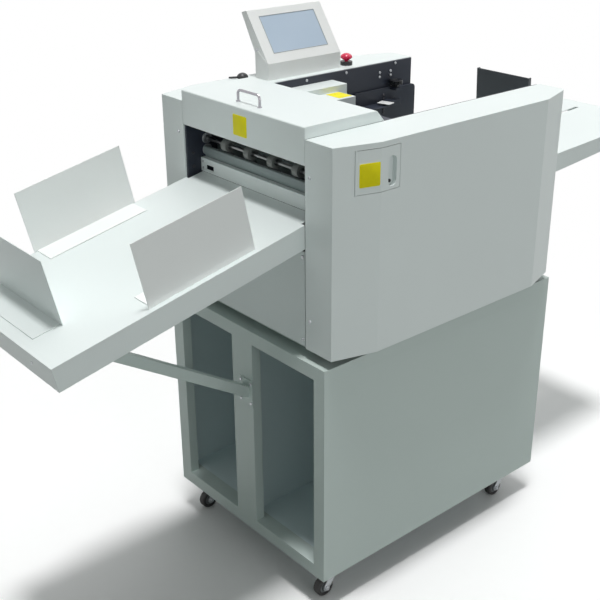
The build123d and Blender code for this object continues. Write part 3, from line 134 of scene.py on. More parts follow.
class Paint:
    # a material whose nodes are made by one method
    def __init__(self, name):
        self.material = bpy.data.materials.new(name)
        self.material.use_nodes = True
        self.tree = self.material.node_tree
        self.shader = self.tree.nodes["Principled BSDF"]
        self.place = self.node("ShaderNodeTexCoord", out="Object")
        self.axes = {}

    def plug(self, socket, value):
        if isinstance(value, Wire):
            self.tree.links.new(value.socket, socket)
        else:
            socket.default_value = value

    def node(self, kind, settings=None, sockets=None, out=0):
        made = self.tree.nodes.new(kind)
        for key, value in (settings or {}).items():
            setattr(made, key, value)
        for key, value in (sockets or {}).items():
            self.plug(made.inputs[key], value)
        return Wire(self, made.outputs[out])

    def axis(self, letter):
        if not self.axes:
            for name in "XYZ":
                self.axes[name] = self.node("ShaderNodeSeparateXYZ", {}, {0: self.place}, name)
        return self.axes[letter]

    def noise(self, scale, detail, roughness, vector=None):
        sockets = {"Vector": vector or self.place, "Scale": scale, "Detail": detail, "Roughness": roughness}
        return self.node("ShaderNodeTexNoise", {}, sockets, "Fac")

    def stretched(self, scale):
        return self.node("ShaderNodeMapping", {}, {"Vector": self.place, "Scale": scale})

    def blendColours(self, factor, first, second):
        sockets = {0: factor, 6: first, 7: second}
        return self.node("ShaderNodeMix", {"data_type": "RGBA"}, sockets, 2)

    def drifting(self, pattern, colour, shares):
        # the colour, between two shares of itself
        return self.blendColours(pattern, *[dimmed(colour, share) for share in shares])

    def rounded(self, radius):
        return self.node("ShaderNodeBevel", {"samples": 6}, {"Radius": radius})

    def relief(self, height, depth, fold=0.0, strength=1.0):
        # fine relief, over edges that look rounded where a fold's radius is given
        sockets = {"Height": height, "Distance": depth, "Strength": strength}
        if fold:
            sockets["Normal"] = self.rounded(fold)
        return self.node("ShaderNodeBump", {}, sockets)

    def edges(self, radius, gain=5.0):
        # near 1 where a fold or a cut edge turns the surface, 0 on the flats
        flat = self.node("ShaderNodeNewGeometry", out="Normal")
        sockets = {0: self.rounded(radius), 1: flat}
        dot = self.node("ShaderNodeVectorMath", {"operation": "DOT_PRODUCT"}, sockets, "Value")
        return ((1.0 - dot) * gain).smaller(1.0)

    def within(self, letter, low, high):
        return (self.axis(letter) > low) * (self.axis(letter) < high)

    def reach(self, firstLetter, first, secondLetter, second):
        # distance from an axis through the two places
        one = self.axis(firstLetter) - first
        two = self.axis(secondLetter) - second
        return (one * one + two * two) ** 0.5

    def seenDirectly(self):
        # 1 for rays that show the surroundings, 0 for those that only light the machine
        camera, glossy, through = [self.node("ShaderNodeLightPath", out=ray)
                                   for ray in ("Is Camera Ray", "Is Glossy Ray", "Is Transmission Ray")]
        return camera.bigger(glossy).bigger(through)

    def look(self, **sockets):
        names = {
            "colour": "Base Color", "roughness": "Roughness", "metallic": "Metallic", "normal": "Normal",
            "coat": "Coat Weight", "coatRoughness": "Coat Roughness", "specular": "Specular IOR Level",
        }
        for key, value in sockets.items():
            self.plug(self.shader.inputs[names[key]], value)
        return self.material


class Sky(Paint):
    # the world's own nodes, made by the same method
    def __init__(self, world):
        world.use_nodes = True
        self.tree = world.node_tree


def rgb(red, green, blue):
    return (red, green, blue, 1.0)


def dimmed(colour, share):
    return rgb(*[channel * share for channel in colour[:3]])


# Finishes

palette = dict(
    coverWhite=rgb(0.83, 0.89, 0.88),
    guideWhite=rgb(0.97, 0.99, 0.98),
    # painted light: a paler, cooler tone of the cabinet's coat for the shaded walls within its bays
    cabinetInsidePaintedLight=rgb(0.78, 0.89, 0.91),
    cabinetPaint=rgb(0.63, 0.72, 0.69),
    frameBlack=rgb(0.023, 0.029, 0.046),
    wornBlack=rgb(0.13, 0.14, 0.15),
    # painted shade: near black for the tail stop, whose face stands in shade
    tailStopPaintedShade=rgb(0.078, 0.088, 0.098),
    wornGrey=rgb(0.42, 0.44, 0.45),
    guideGrey=rgb(0.27, 0.32, 0.32),
    yellow=rgb(0.96, 0.86, 0.004),
    plasticBlack=rgb(0.022, 0.023, 0.026),
    rubberPale=rgb(0.42, 0.43, 0.40),
    rubberBlack=rgb(0.018, 0.018, 0.020),
    rubberDusty=rgb(0.050, 0.048, 0.046),
    hubGrey=rgb(0.16, 0.17, 0.18),
    hubDusty=rgb(0.22, 0.23, 0.24),
    beltGreen=rgb(0.10, 0.13, 0.12),
    steel=rgb(0.55, 0.56, 0.57),
    white=rgb(1.0, 1.0, 1.0),
)

grains = dict(  # scale, detail and roughness of each noise
    clouds=(2.3, 3.0, 0.55),
    peel=(760.0, 2.0, 0.6),
    scuffs=(55.0, 4.0, 0.7),
    spark=(1500.0, 3.0, 0.6),
    moulding=(9.0, 2.0, 0.5),
    streaks=(1.0, 3.0, 0.6),
    bloom=(60.0, 3.0, 0.6),
    rubber=(700.0, 2.0, 0.6),
    dust=(90.0, 4.0, 0.7),
    tread=(900.0, 2.0, 0.6),
    mixed=(700.0, 3.0, 0.6),
    rods=(500.0, 3.0, 0.6),
    patches=(14.0, 3.0, 0.6),
    paintedSheen=(5.0, 2.0, 0.4),
    marks=(46.0, 4.0, 0.7),
    filmClouds=(70.0, 3.0, 0.6),
    film=(1300.0, 2.0, 0.5),
    speck=(30.0, 2.0, 0.5),
)

coat = dict(fold=0.0012, peel=0.00004, cloudGloss=0.08, peelGloss=0.03, paler=0.4)


def sprayed(paint, tone, roughness, clouds, peel):
    # gloss, orange peel and softly rounded folds of a sprayed and baked coat
    gloss = roughness + clouds * coat["cloudGloss"] + peel * coat["peelGloss"]
    return paint.look(colour=tone, roughness=gloss, normal=paint.relief(peel, coat["peel"], coat["fold"]))


def powderCoat(name, colour, roughness=0.36, drift=0.05, worn=None):
    # faint clouds of tone, and scuffed edges where a worn colour is given
    scuff = dict(gain=1.9, cut=0.55)
    paint = Paint(name)
    clouds = paint.noise(*grains["clouds"])
    peel = paint.noise(*grains["peel"])
    tone = paint.drifting(clouds, colour, (1.0 - drift, 1.0 + drift * coat["paler"]))
    if worn:
        scuffs = (paint.noise(*grains["scuffs"]) * scuff["gain"] - scuff["cut"]).bigger(0.0).smaller(1.0)
        tone = paint.blendColours(paint.edges(coat["fold"]) * scuffs, tone, worn)
    return sprayed(paint, tone, roughness, clouds, peel)


def cabinetFinish(name):
    # the sprayed coat outside; on the walls within the bays the same coat is painted paler and cooler,
    # painted light that lifts their shade
    bays = dict(front=0.040, back=0.7788, half=0.2903, floor=0.0895, roof=0.654)
    finish = dict(outer=(0.95, 1.02), inner=(0.94, 1.03), roughness=0.42)
    paint = Paint(name)
    paintedLightInBays = paint.within("X", frontX + bays["front"], frontX + bays["back"])
    paintedLightInBays = paintedLightInBays * (abs(paint.axis("Y")) < bays["half"]) * paint.within("Z", bays["floor"], bays["roof"])
    clouds = paint.noise(*grains["clouds"])
    peel = paint.noise(*grains["peel"])
    outer = paint.drifting(clouds, palette["cabinetPaint"], finish["outer"])
    inner = paint.drifting(clouds, palette["cabinetInsidePaintedLight"], finish["inner"])
    return sprayed(paint, paint.blendColours(paintedLightInBays, outer, inner), finish["roughness"], clouds, peel)


def mouldedPlastic(name, colour, roughness, depth=0.00003, fold=0.001):
    # moulded surface with a fine spark-eroded grain
    plastic = dict(shares=(0.94, 1.04), glossSpread=0.1)
    paint = Paint(name)
    spark = paint.noise(*grains["spark"])
    gloss = roughness - plastic["glossSpread"] / 2 + spark * plastic["glossSpread"]
    return paint.look(colour=paint.drifting(paint.noise(*grains["moulding"]), colour, plastic["shares"]),
                      roughness=gloss, normal=paint.relief(spark, depth, fold))


def metalFinish(name, colour, roughness, streak=(4.0, 4.0, 900.0), patches=0.0):
    # ground or plated metal: fine streaks one way, and for zinc a mottled bloom
    metal = dict(shares=(0.86, 1.06), glossier=0.05, streakGloss=0.12, depth=0.00001, fold=0.0006,
                 strength=0.6)
    paint = Paint(name)
    streaks = paint.noise(*grains["streaks"], paint.stretched(streak))
    gloss = roughness - metal["glossier"] + streaks * metal["streakGloss"]
    gloss = gloss + paint.noise(*grains["bloom"]) * patches
    return paint.look(colour=paint.drifting(streaks, colour, metal["shares"]), metallic=1.0, roughness=gloss,
                      normal=paint.relief(streaks, metal["depth"], metal["fold"], metal["strength"]))


def rollerFinish(name, axle, rubberColour, coreColour):
    # rubber tyres beyond the core's radius on a shaft along Y, ground steel for the rest
    roller = dict(depth=0.00003, fold=0.0008, streak=(900.0, 6.0, 900.0), coreShares=(0.8, 1.1),
                  rubberShares=(0.85, 1.05), coreRough=0.28, rubberAdds=0.42)
    paint = Paint(name)
    beyondCore = paint.reach("X", frontX + axle["x"], "Z", axle["z"]) > axle["core"]
    isRubber = beyondCore * (abs(paint.axis("Y")) < plateFace)
    streaks = paint.noise(*grains["streaks"], paint.stretched(roller["streak"]))
    grainy = paint.noise(*grains["rubber"])
    core = paint.drifting(streaks, coreColour, roller["coreShares"])
    rubber = paint.drifting(grainy, rubberColour, roller["rubberShares"])
    return paint.look(colour=paint.blendColours(isRubber, core, rubber), metallic=1.0 - isRubber,
                      roughness=roller["coreRough"] + isRubber * roller["rubberAdds"],
                      normal=paint.relief(grainy, roller["depth"], roller["fold"]))


def wheelFinish(name, x):
    # hard black tread on a grey hub, with dust on both
    wheel = dict(hub=0.0165, hubRough=0.42, treadAdds=0.2, dustAdds=0.1, depth=0.00004, fold=0.001)
    paint = Paint(name)
    isTread = paint.reach("X", frontX + x, "Z", axleHeight) > wheel["hub"]
    dust = paint.noise(*grains["dust"])
    tread = paint.blendColours(dust, palette["rubberBlack"], palette["rubberDusty"])
    hub = paint.blendColours(dust, palette["hubGrey"], palette["hubDusty"])
    gloss = wheel["hubRough"] + isTread * wheel["treadAdds"] + dust * wheel["dustAdds"]
    return paint.look(colour=paint.blendColours(isTread, hub, tread), roughness=gloss,
                      normal=paint.relief(paint.noise(*grains["tread"]), wheel["depth"], wheel["fold"]))


def splitFinish(name, mask, first, second, rough, metal=(0.0, 0.0), grain="mixed"):
    # two finishes on one node, parted by a mask made from its own places
    split = dict(depth=0.00004, fold=0.0008, firstShares=(0.9, 1.06), secondShares=(0.84, 1.06),
                 fineAdds=0.08)
    paint = Paint(name)
    parted = mask(paint)
    fine = paint.noise(*grains[grain])
    firstTone = paint.drifting(paint.noise(*grains["patches"]), first, split["firstShares"])
    secondTone = paint.drifting(fine, second, split["secondShares"])
    gloss = rough[0] + parted * (rough[1] - rough[0]) + fine * split["fineAdds"]
    return paint.look(colour=paint.blendColours(parted, firstTone, secondTone), roughness=gloss,
                      metallic=metal[0] + parted * (metal[1] - metal[0]),
                      normal=paint.relief(fine, split["depth"], split["fold"]))


def screenPane():
    # unlit touch pane whose pale blue drifts in soft clouds as a painted sheen, with finger marks in its
    # gloss
    pane = dict(low=rgb(0.44, 0.56, 0.70), high=rgb(0.58, 0.68, 0.80), rough=0.12, marksAdd=0.14,
                coat=0.5, coatRough=0.05)
    paint = Paint("screenPane")
    # painted sheen: the colour drifts between two blues in soft clouds
    tone = paint.blendColours(paint.noise(*grains["paintedSheen"]), pane["low"], pane["high"])
    gloss = pane["rough"] + paint.noise(*grains["marks"]) * pane["marksAdd"]
    return paint.look(colour=tone, roughness=gloss, coat=pane["coat"], coatRoughness=pane["coatRough"])


def yellowFilm():
    # plain film with faint clouds of tone
    film = dict(shares=(0.88, 1.04), rough=0.40, cloudAdds=0.15, depth=0.00001, specular=0.2)
    paint = Paint("yellowFilm")
    cloud = paint.noise(*grains["filmClouds"])
    gloss = film["rough"] + cloud * film["cloudAdds"]
    return paint.look(colour=paint.drifting(cloud, palette["yellow"], film["shares"]), roughness=gloss,
                      normal=paint.relief(paint.noise(*grains["film"]), film["depth"]),
                      specular=film["specular"])


def feetBelowBase(paint):
    baseFloor = 0.6795
    return paint.axis("Z") < baseFloor


def beltBesideMotor(paint):
    belt = dict(y=0.2325, aboveMotor=0.8)
    return (paint.axis("Y") > belt["y"]) * (paint.axis("Z") > belt["aboveMotor"])


def rodsBesideMotor(paint):
    motorHalf = 0.1
    return abs(paint.axis("Y")) > motorHalf


def bladesInInlet(paint):
    blades = dict(back=0.3853, face=0.3975, y=0.120, halfWidth=0.0083, z=0.731, halfHeight=0.0062)
    inWidth = abs(paint.axis("Y") - blades["y"]) < blades["halfWidth"]
    inHeight = abs(paint.axis("Z") - blades["z"]) < blades["halfHeight"]
    return paint.within("X", blades["back"], blades["face"]) * inHeight * inWidth


def beltHoles(paint):
    # feed belts on both runs, with dark suction holes along the middle of each
    belt = dict(pitch=0.052, half=0.0179, outer=0.0705, lowRun=1.0478, highRun=1.0752)
    hole = dict(pitch=0.018, radius=0.0032, shade=0.9)
    along = ((paint.axis("X") * (1.0 / hole["pitch"])).fraction() - 0.5) * hole["pitch"]
    across = ((paint.axis("Y") * (1.0 / belt["pitch"]) + 0.5).fraction() - 0.5) * belt["pitch"]
    isHole = ((along * along + across * across) ** 0.5) < hole["radius"]
    onRun = (paint.axis("Z") < belt["lowRun"]) + (paint.axis("Z") > belt["highRun"])
    isBelt = (abs(across) < belt["half"]) * (abs(paint.axis("Y")) < belt["outer"]) * onRun
    return isBelt * (1.0 - isHole * hole["shade"])


finishes = dict(
    cover_white=powderCoat("whitePowderCoat", palette["coverWhite"]),
    cabinet_paint=cabinetFinish("cabinetPowderCoat"),
    frame_black=powderCoat("blackPowderCoat", palette["frameBlack"], 0.38, 0.2, palette["wornBlack"]),
    guide_brown=powderCoat("greyPowderCoat", palette["guideGrey"], 0.42, 0.12),
    bright_steel=metalFinish("groundSteel", palette["steel"], 0.26),
    zinc_steel=metalFinish("zincPlate", rgb(0.52, 0.54, 0.56), 0.36, (40.0, 40.0, 60.0), 0.10),
    handle_chrome=metalFinish("chromePlate", rgb(0.40, 0.39, 0.42), 0.12, (3.0, 3.0, 3.0)),
    black_plastic=mouldedPlastic("blackPlastic", palette["plasticBlack"], 0.40),
    console_plastic=mouldedPlastic("whitePlastic", rgb(0.92, 0.93, 0.92), 0.42),
    stop_red=mouldedPlastic("redPlastic", rgb(0.74, 0.020, 0.085), 0.22, 0.00001),
    roller_rubber=mouldedPlastic("paleRubber", palette["rubberPale"], 0.62),
    wheel_rubber=mouldedPlastic("greyRubber", rgb(0.10, 0.10, 0.11), 0.60),
    bush_brass=metalFinish("bushBrass", rgb(0.70, 0.52, 0.25), 0.32),
    screen_glass=screenPane(),
    pane_gasket=mouldedPlastic("greyGasket", rgb(0.42, 0.45, 0.47), 0.5),
    gloss_black=mouldedPlastic("glossBlack", rgb(0.012, 0.013, 0.016), 0.16, 0.000005, 0.0007),
    dark_screw=metalFinish("blackenedSteel", rgb(0.10, 0.10, 0.11), 0.34, (60.0, 60.0, 60.0)),
)

rollerColours = dict(  # name of the finish, rubber, core
    # painted shade: the exit rollers sit in the slot's shade, so their rubber and cores are darkened grey,
    # while the infeed rollers keep pale rubber and bright steel
    exit_shaft_upper=("exitUpperRollerPaintedShade", rgb(0.24, 0.25, 0.24), rgb(0.20, 0.21, 0.21)),
    exit_shaft_lower=("exitLowerRollerPaintedShade", rgb(0.13, 0.14, 0.14), rgb(0.12, 0.13, 0.13)),
    infeed_shaft_upper=("infeedUpperRoller", palette["rubberPale"], palette["steel"]),
    infeed_shaft_lower=("infeedLowerRoller", palette["rubberPale"], palette["steel"]),
)

# Nodes whose finish changes over the piece, or differs from the rest of its slot
nodeFinishes = dict(
    # painted shade: the tail stop's plate is painted near black because its face stands in shade; its
    # scuffed edges stay as wear
    tail_stop=powderCoat("tailStopShadedCoat", palette["tailStopPaintedShade"], 0.40, 0.15, palette["wornGrey"]),
    delivery_guide_far=powderCoat("farGuidePowderCoat", palette["guideWhite"]),
    delivery_guide_near=powderCoat("nearGuidePowderCoat", palette["guideWhite"]),
    head_base=splitFinish("baseAndFeet", feetBelowBase, palette["cabinetPaint"], palette["rubberBlack"],
                          rough=(0.44, 0.66)),
    belt_drive=splitFinish("motorAndBelt", beltBesideMotor, rgb(0.20, 0.21, 0.22), palette["rubberBlack"],
                           rough=(0.40, 0.60)),
    lift_drive=splitFinish("motorAndRods", rodsBesideMotor, rgb(0.06, 0.065, 0.07), rgb(0.60, 0.61, 0.62),
                           rough=(0.42, 0.22), metal=(0.0, 1.0), grain="rods"),
    suction_box=splitFinish("boxAndBelts", beltHoles, palette["frameBlack"], palette["beltGreen"],
                            rough=(0.42, 0.68)),
    power_inlet=splitFinish("inletAndBlades", bladesInInlet, palette["plasticBlack"], rgb(0.70, 0.62, 0.40),
                            rough=(0.40, 0.26), metal=(0.0, 1.0)),
)
for shaft, (finishName, rubber, core) in rollerColours.items():
    nodeFinishes[shaft] = rollerFinish(finishName, axles[shaft], rubber, core)
for corner, castor in castors.items():
    nodeFinishes["castor_wheel_" + corner] = wheelFinish(castor["finish"], castor["x"])

for entry in frame["record"]["subparts"]:
    node = frame["nodes"][entry["node"]]
    node.data.materials.clear()
    node.data.materials.append(nodeFinishes.get(entry["node"], finishes[entry["material_slot"]]))


# Small helpers for modelling

def at(x, y, z):
    # x from the cabinet's front face
    return Vector((frontX + x, y, z))


def facing(place, outward, upward=up):
    # the piece's own Z looks outward and its own Y looks upward
    out = Vector(outward).normalized()
    top = Vector(upward)
    top = (top - out * top.dot(out)).normalized()
    right = top.cross(out)
    turn = Matrix((right, top, out)).transposed().to_4x4()
    return Matrix.Translation(place) @ turn


def leaveEdit():
    bpy.ops.object.mode_set(mode="OBJECT")


def clearChoice():
    if bpy.context.object and bpy.context.object.mode != "OBJECT":
        leaveEdit()
    bpy.ops.object.select_all(action="DESELECT")


def pick(*pieces):
    # the first one is active
    clearChoice()
    for piece in pieces:
        piece.select_set(True)
    bpy.context.view_layer.objects.active = pieces[0]


def startEdit(kind="FACE"):
    bpy.ops.object.mode_set(mode="EDIT")
    bpy.ops.mesh.select_mode(type=kind)
    bpy.ops.mesh.select_all(action="DESELECT")


def chooseAll():
    bpy.ops.mesh.select_all(action="SELECT")


def choose(kind, test):
    # "faces", "edges" or "verts" of the mesh in edit mode that pass the test
    mesh = bmesh.from_edit_mesh(bpy.context.object.data)
    for element in getattr(mesh, kind):
        element.select_set(bool(test(element)))
    mesh.select_flush_mode()
    bmesh.update_edit_mesh(bpy.context.object.data)


def middle(edge):
    first, second = edge.verts
    return (first.co + second.co) / 2


def extrude(*step):
    bpy.ops.mesh.extrude_region_move(TRANSFORM_OT_translate={"value": step})


def scaleFlat(share):
    # towards the Z axis, without a change of height
    bpy.ops.transform.resize(value=(share, share, 1.0), center_override=(0.0, 0.0, 0.0))


def turnOutward():
    chooseAll()
    bpy.ops.mesh.normals_make_consistent(inside=False)


def closeUp():
    # one vertex where two lie together, and every face outwards
    chooseAll()
    bpy.ops.mesh.remove_doubles(threshold=doubled)
    turnOutward()
    leaveEdit()


def bevelRim(top, width, segments=2, profile=0.5):
    # rounds every edge that lies at the top
    startEdit("EDGE")
    choose("edges", lambda edge: middle(edge).z > top - hair)
    bpy.ops.mesh.bevel(offset=width, segments=segments, profile=profile)
    leaveEdit()


def insetTop(width):
    # draws the top face in and leaves it chosen
    startEdit()
    choose("faces", lambda face: face.normal.z > upright)
    bpy.ops.mesh.inset(thickness=width, depth=0.0)


def raiseSheet(height):
    # closed block from the flat sheet in edit mode
    chooseAll()
    extrude(0.0, 0.0, height)
    turnOutward()


def raiseRing(band, height, rim):
    # ring with one band's width from a flat face
    startEdit()
    chooseAll()
    bpy.ops.mesh.inset(thickness=band, depth=0.0)
    bpy.ops.mesh.delete(type="FACE")
    raiseSheet(height)
    bevelRim(height, rim)


def makeSheet(width, height):
    clearChoice()
    bpy.ops.mesh.primitive_plane_add(size=1.0)
    bpy.context.object.scale = (width, height, 1.0)
    bpy.ops.object.transform_apply(scale=True)


def makeCylinder(vertices, radius, high, low=0.0, y=0.0):
    clearChoice()
    bpy.ops.mesh.primitive_cylinder_add(vertices=vertices, radius=radius, depth=high - low,
                                        location=(0.0, y, (low + high) / 2))
    bpy.ops.object.transform_apply(location=True)
    return bpy.context.object


def makeOutline(start, steps):
    # open run of edges in the XZ plane, drawn step by step from one vertex
    clearChoice()
    bpy.ops.mesh.primitive_plane_add(size=1.0)
    startEdit("VERT")
    chooseAll()
    bpy.ops.mesh.merge(type="CENTER")
    bpy.ops.transform.translate(value=start)
    for across, rise in steps:
        bpy.ops.mesh.extrude_vertices_move(TRANSFORM_OT_translate={"value": (across, 0.0, rise)})
    return bpy.context.object


def makePlate(width, height, thickness, corner):
    makeSheet(width, height)
    startEdit("VERT")
    chooseAll()
    bpy.ops.mesh.bevel(offset=corner, segments=5, affect="VERTICES")
    raiseSheet(thickness)
    bevelRim(thickness, thickness * 0.4)


def makeTurned(rings, vertices):
    # rings of (radius, height) pulled one from another, closed at both ends
    radius, height = rings[0]
    clearChoice()
    bpy.ops.mesh.primitive_circle_add(vertices=vertices, radius=radius, fill_type="NGON",
                                      location=(0.0, 0.0, height))
    bpy.ops.object.transform_apply(location=True)
    startEdit()
    chooseAll()
    for nextRadius, nextHeight in rings[1:]:
        extrude(0.0, 0.0, nextHeight - height)
        scaleFlat(nextRadius / radius)
        radius, height = nextRadius, nextHeight
    turnOutward()
    leaveEdit()


def useModifier(kind, **settings):
    piece = bpy.context.object
    made = piece.modifiers.new(kind.lower(), kind)
    for key, value in settings.items():
        setattr(made, key, value)
    bpy.ops.object.modifier_apply(modifier=made.name)


def joinPieces(*pieces):
    pick(*pieces)
    if len(pieces) > 1:
        bpy.ops.object.join()
    return bpy.context.object


def copyTo(pattern, places):
    # copies of one pattern, joined into a single piece that stays active
    copies = []
    for place in places:
        copy = bpy.data.objects.new(pattern.name, pattern.data.copy())
        bpy.context.collection.objects.link(copy)
        copy.data.transform(place)
        copies.append(copy)
    return joinPieces(*copies)


def dropPattern(pattern):
    bpy.data.objects.remove(pattern, do_unlink=True)


def finishPiece(name, body, slotName, finish=None, place=None):
    piece = bpy.context.object
    pick(piece)
    bpy.ops.object.transform_apply(location=True, rotation=True, scale=True)
    if place is not None:
        piece.data.transform(place)
    bpy.ops.object.shade_smooth_by_angle(angle=smoothAngle)
    piece.name = name
    piece.data.materials.clear()
    piece.data.materials.append(finish or finishes[slotName])
    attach(piece, body)
    return piece


# Screws

def makeScrewPattern():
    # pan head with a cross recess, its seat on the piece's own Z = 0
    screw = dict(radius=0.0037, rise=0.0024, crown=0.0012)
    cross = dict(length=0.0044, width=0.0009, depth=0.0013)
    pattern = makeCylinder(28, screw["radius"], screw["rise"])
    bevelRim(screw["rise"], screw["crown"], 4, 0.6)
    for across, along in ((cross["length"], cross["width"]), (cross["width"], cross["length"])):
        bpy.ops.mesh.primitive_cube_add(size=1.0, location=(0.0, 0.0, screw["rise"]))
        cutter = bpy.context.object
        cutter.scale = (across, along, cross["depth"] * 2)
        bpy.ops.object.transform_apply(location=True, scale=True)
        pick(pattern)
        useModifier("BOOLEAN", operation="DIFFERENCE", object=cutter, solver="EXACT")
        dropPattern(cutter)
    return pattern


def gridOf(x, ys, zs, out):
    return [(x, y, z, out) for y in ys for z in zs]


def addScrews():
    posts = gridOf(x=0.011, ys=(-0.232, 0.237), zs=(0.751, 1.0745), out=front)
    frontPanel = gridOf(x=0.014, ys=(-0.2055, 0.2055), zs=(0.698, 0.893), out=front)
    rearPanel = gridOf(x=0.7615, ys=(-0.19, 0.19), zs=(0.70, 0.865), out=rear)
    coverTails = gridOf(x=0.765, ys=(-0.25, 0.25), zs=(0.72, 1.11), out=rear)
    console = gridOf(x=0.2847, ys=(0.285,), zs=(1.221,), out=front)
    console += gridOf(x=0.5245, ys=(0.285,), zs=(1.221,), out=rear)
    cabinetBack = gridOf(x=0.780, ys=(-0.27, 0.0, 0.27), zs=(0.1075, 0.637), out=rear)
    strutPad = gridOf(x=-0.003, ys=(-0.031, 0.007), zs=(0.464, 0.516), out=front)
    railPlaces = [(0.384, 1.143), (0.519, 1.143), (0.698, 1.144), (0.6405, 1.126), (0.6405, 1.1144),
                  (0.681, 1.1255), (0.681, 1.1144)]
    rails = [(x, y, z, out) for x, z in railPlaces for y, out in ((plateFace, near), (-plateFace, far))]
    slotEnds = dict(x=0.032, zs=(1.0235, 0.9915))
    guide = dict(x=0.650, y=0.205, zs=(1.065, 1.055, 1.026, 1.018))
    groups = dict(
        screwsOnCovers=("machine", "zinc_steel", posts + frontPanel + rearPanel + coverTails + console),
        screwsOnPlates=("machine", "zinc_steel", rails),
        screwsOnCabinet=("machine", "zinc_steel", cabinetBack + strutPad),
        screwsInSlot=("machine", "frame_black", gridOf(ys=(-plateFace,), out=far, **slotEnds) +
                      gridOf(ys=(plateFace,), out=near, **slotEnds)),
        screwsOnGuideFar=("pile_guide_far", "frame_black",
                          gridOf(guide["x"], (guide["y"],), guide["zs"], near)),
        screwsOnGuideNear=("pile_guide_near", "frame_black",
                           gridOf(guide["x"], (-guide["y"],), guide["zs"], far)),
    )
    pattern = makeScrewPattern()
    for name, (body, slotName, places) in groups.items():
        copyTo(pattern, [facing(at(x, y, z), out) for x, y, z, out in places])
        finish = finishes["dark_screw"] if slotName == "frame_black" else None
        finishPiece(name, body, slotName, finish)
    dropPattern(pattern)
    print("screws in place")


# Blank yellow plates

def addYellowPlates():
    sheet = dict(thickness=0.0006, corner=0.003)
    hatchSlope = (-30.0, -107.0, 0.0)
    plates = dict(
        lipPlate=dict(size=(0.048, 0.046), place=facing(at(0.011, -0.0015, 1.1355), front), body="lid"),
        hatchPlate=dict(size=(0.048, 0.050), place=facing(at(0.0925, -0.32285, 1.0855), hatchSlope),
                        body="hatch"),
        housingPlate=dict(size=(0.043, 0.050), place=facing(at(0.4130, 0.1225, 1.117), up, far),
                          body="machine"),
    )
    film = yellowFilm()
    for name, plate in plates.items():
        makePlate(*plate["size"], sheet["thickness"], sheet["corner"])
        finishPiece(name, plate["body"], "cover_white", film, plate["place"])
    print("yellow plates in place")


# Pieces on the covers and the console

def addHatchLatch():
    # round button at the lower end of the pull, with a dimple
    latch = dict(radius=0.0034, length=0.005, rim=0.0005, dimple=0.0018, dimpleDepth=0.0012,
                 place=at(0.1495, -0.3181, 1.0615))
    makeCylinder(32, latch["radius"], latch["length"])
    insetTop(latch["radius"] - latch["dimple"])
    extrude(0.0, 0.0, -latch["dimpleDepth"])
    bevelRim(latch["length"], latch["rim"])
    finishPiece("hatchLatch", "hatch", "black_plastic", None, facing(latch["place"], near))
    print("hatch latch")


def addConsoleTrim():
    # folded seams on both sides, and a thin gasket round the pane
    seam = dict(width=0.0022, rise=0.0008, corner=0.0009, short=0.008, low=(0.2440, 1.1925),
                high=(0.2850, 1.2210))
    lowY, lowZ = seam["low"]
    highY, highZ = seam["high"]
    along = Vector((0.0, highY - lowY, highZ - lowZ))
    halfway = ((lowY + highY) / 2, (lowZ + highZ) / 2)
    for name, x, out in (("consoleSeamFront", 0.2847, front), ("consoleSeamRear", 0.5245, rear)):
        makePlate(seam["width"], along.length - seam["short"], seam["rise"], seam["corner"])
        finishPiece(name, "machine", "console_plastic", None, facing(at(x, *halfway), out, along))

    gasket = dict(width=0.1796, height=0.1016, band=0.0016, rise=0.0006, rim=0.0003)
    face = dict(x=0.4046, low=(0.2410, 1.1920), high=(0.3246, 1.3110), toMiddle=0.0756)
    lowY, lowZ = face["low"]
    highY, highZ = face["high"]
    lean = Vector((0.0, highY - lowY, highZ - lowZ)).normalized()
    centre = at(face["x"], lowY, lowZ) + lean * face["toMiddle"]
    makeSheet(gasket["width"], gasket["height"])
    raiseRing(gasket["band"], gasket["rise"], gasket["rim"])
    finishPiece("screenGasket", "machine", "console_plastic", finishes["pane_gasket"],
                facing(centre, (0.0, -lean.z, lean.y), lean))
    print("console trim")


def addAirLever():
    # short pointer at the foot of the air control
    lever = dict(start=at(0.2500, 0.3150, 1.1523), end=at(0.2265, 0.3268, 1.1523), width=0.0055,
                 rise=0.0035, corner=0.0026)
    run = lever["end"] - lever["start"]
    makePlate(lever["width"], run.length, lever["rise"], lever["corner"])
    finishPiece("airLever", "air_control", "black_plastic", None,
                facing((lever["start"] + lever["end"]) / 2, up, run))
    print("air lever")


# Bearings, knobs, wheels and threads

def addBushFlanges():
    # turned flange of each bush, inside the frame plates
    flange = dict(inner=0.0054, thickness=0.0028, rim=0.0006)
    pairs = []
    for axle in axles.values():
        clearChoice()
        bpy.ops.mesh.primitive_circle_add(vertices=40, radius=axle["flange"], fill_type="NGON")
        ring = bpy.context.object
        raiseRing(axle["flange"] - flange["inner"], flange["thickness"], flange["rim"])
        pairs.append(copyTo(ring, [facing(at(axle["x"], -plateFace, axle["z"]), far),
                                   facing(at(axle["x"], plateFace, axle["z"]), near)]))
        dropPattern(ring)
    joinPieces(*pairs)
    finishPiece("bushFlanges", "machine", "zinc_steel")
    print("bush flanges")


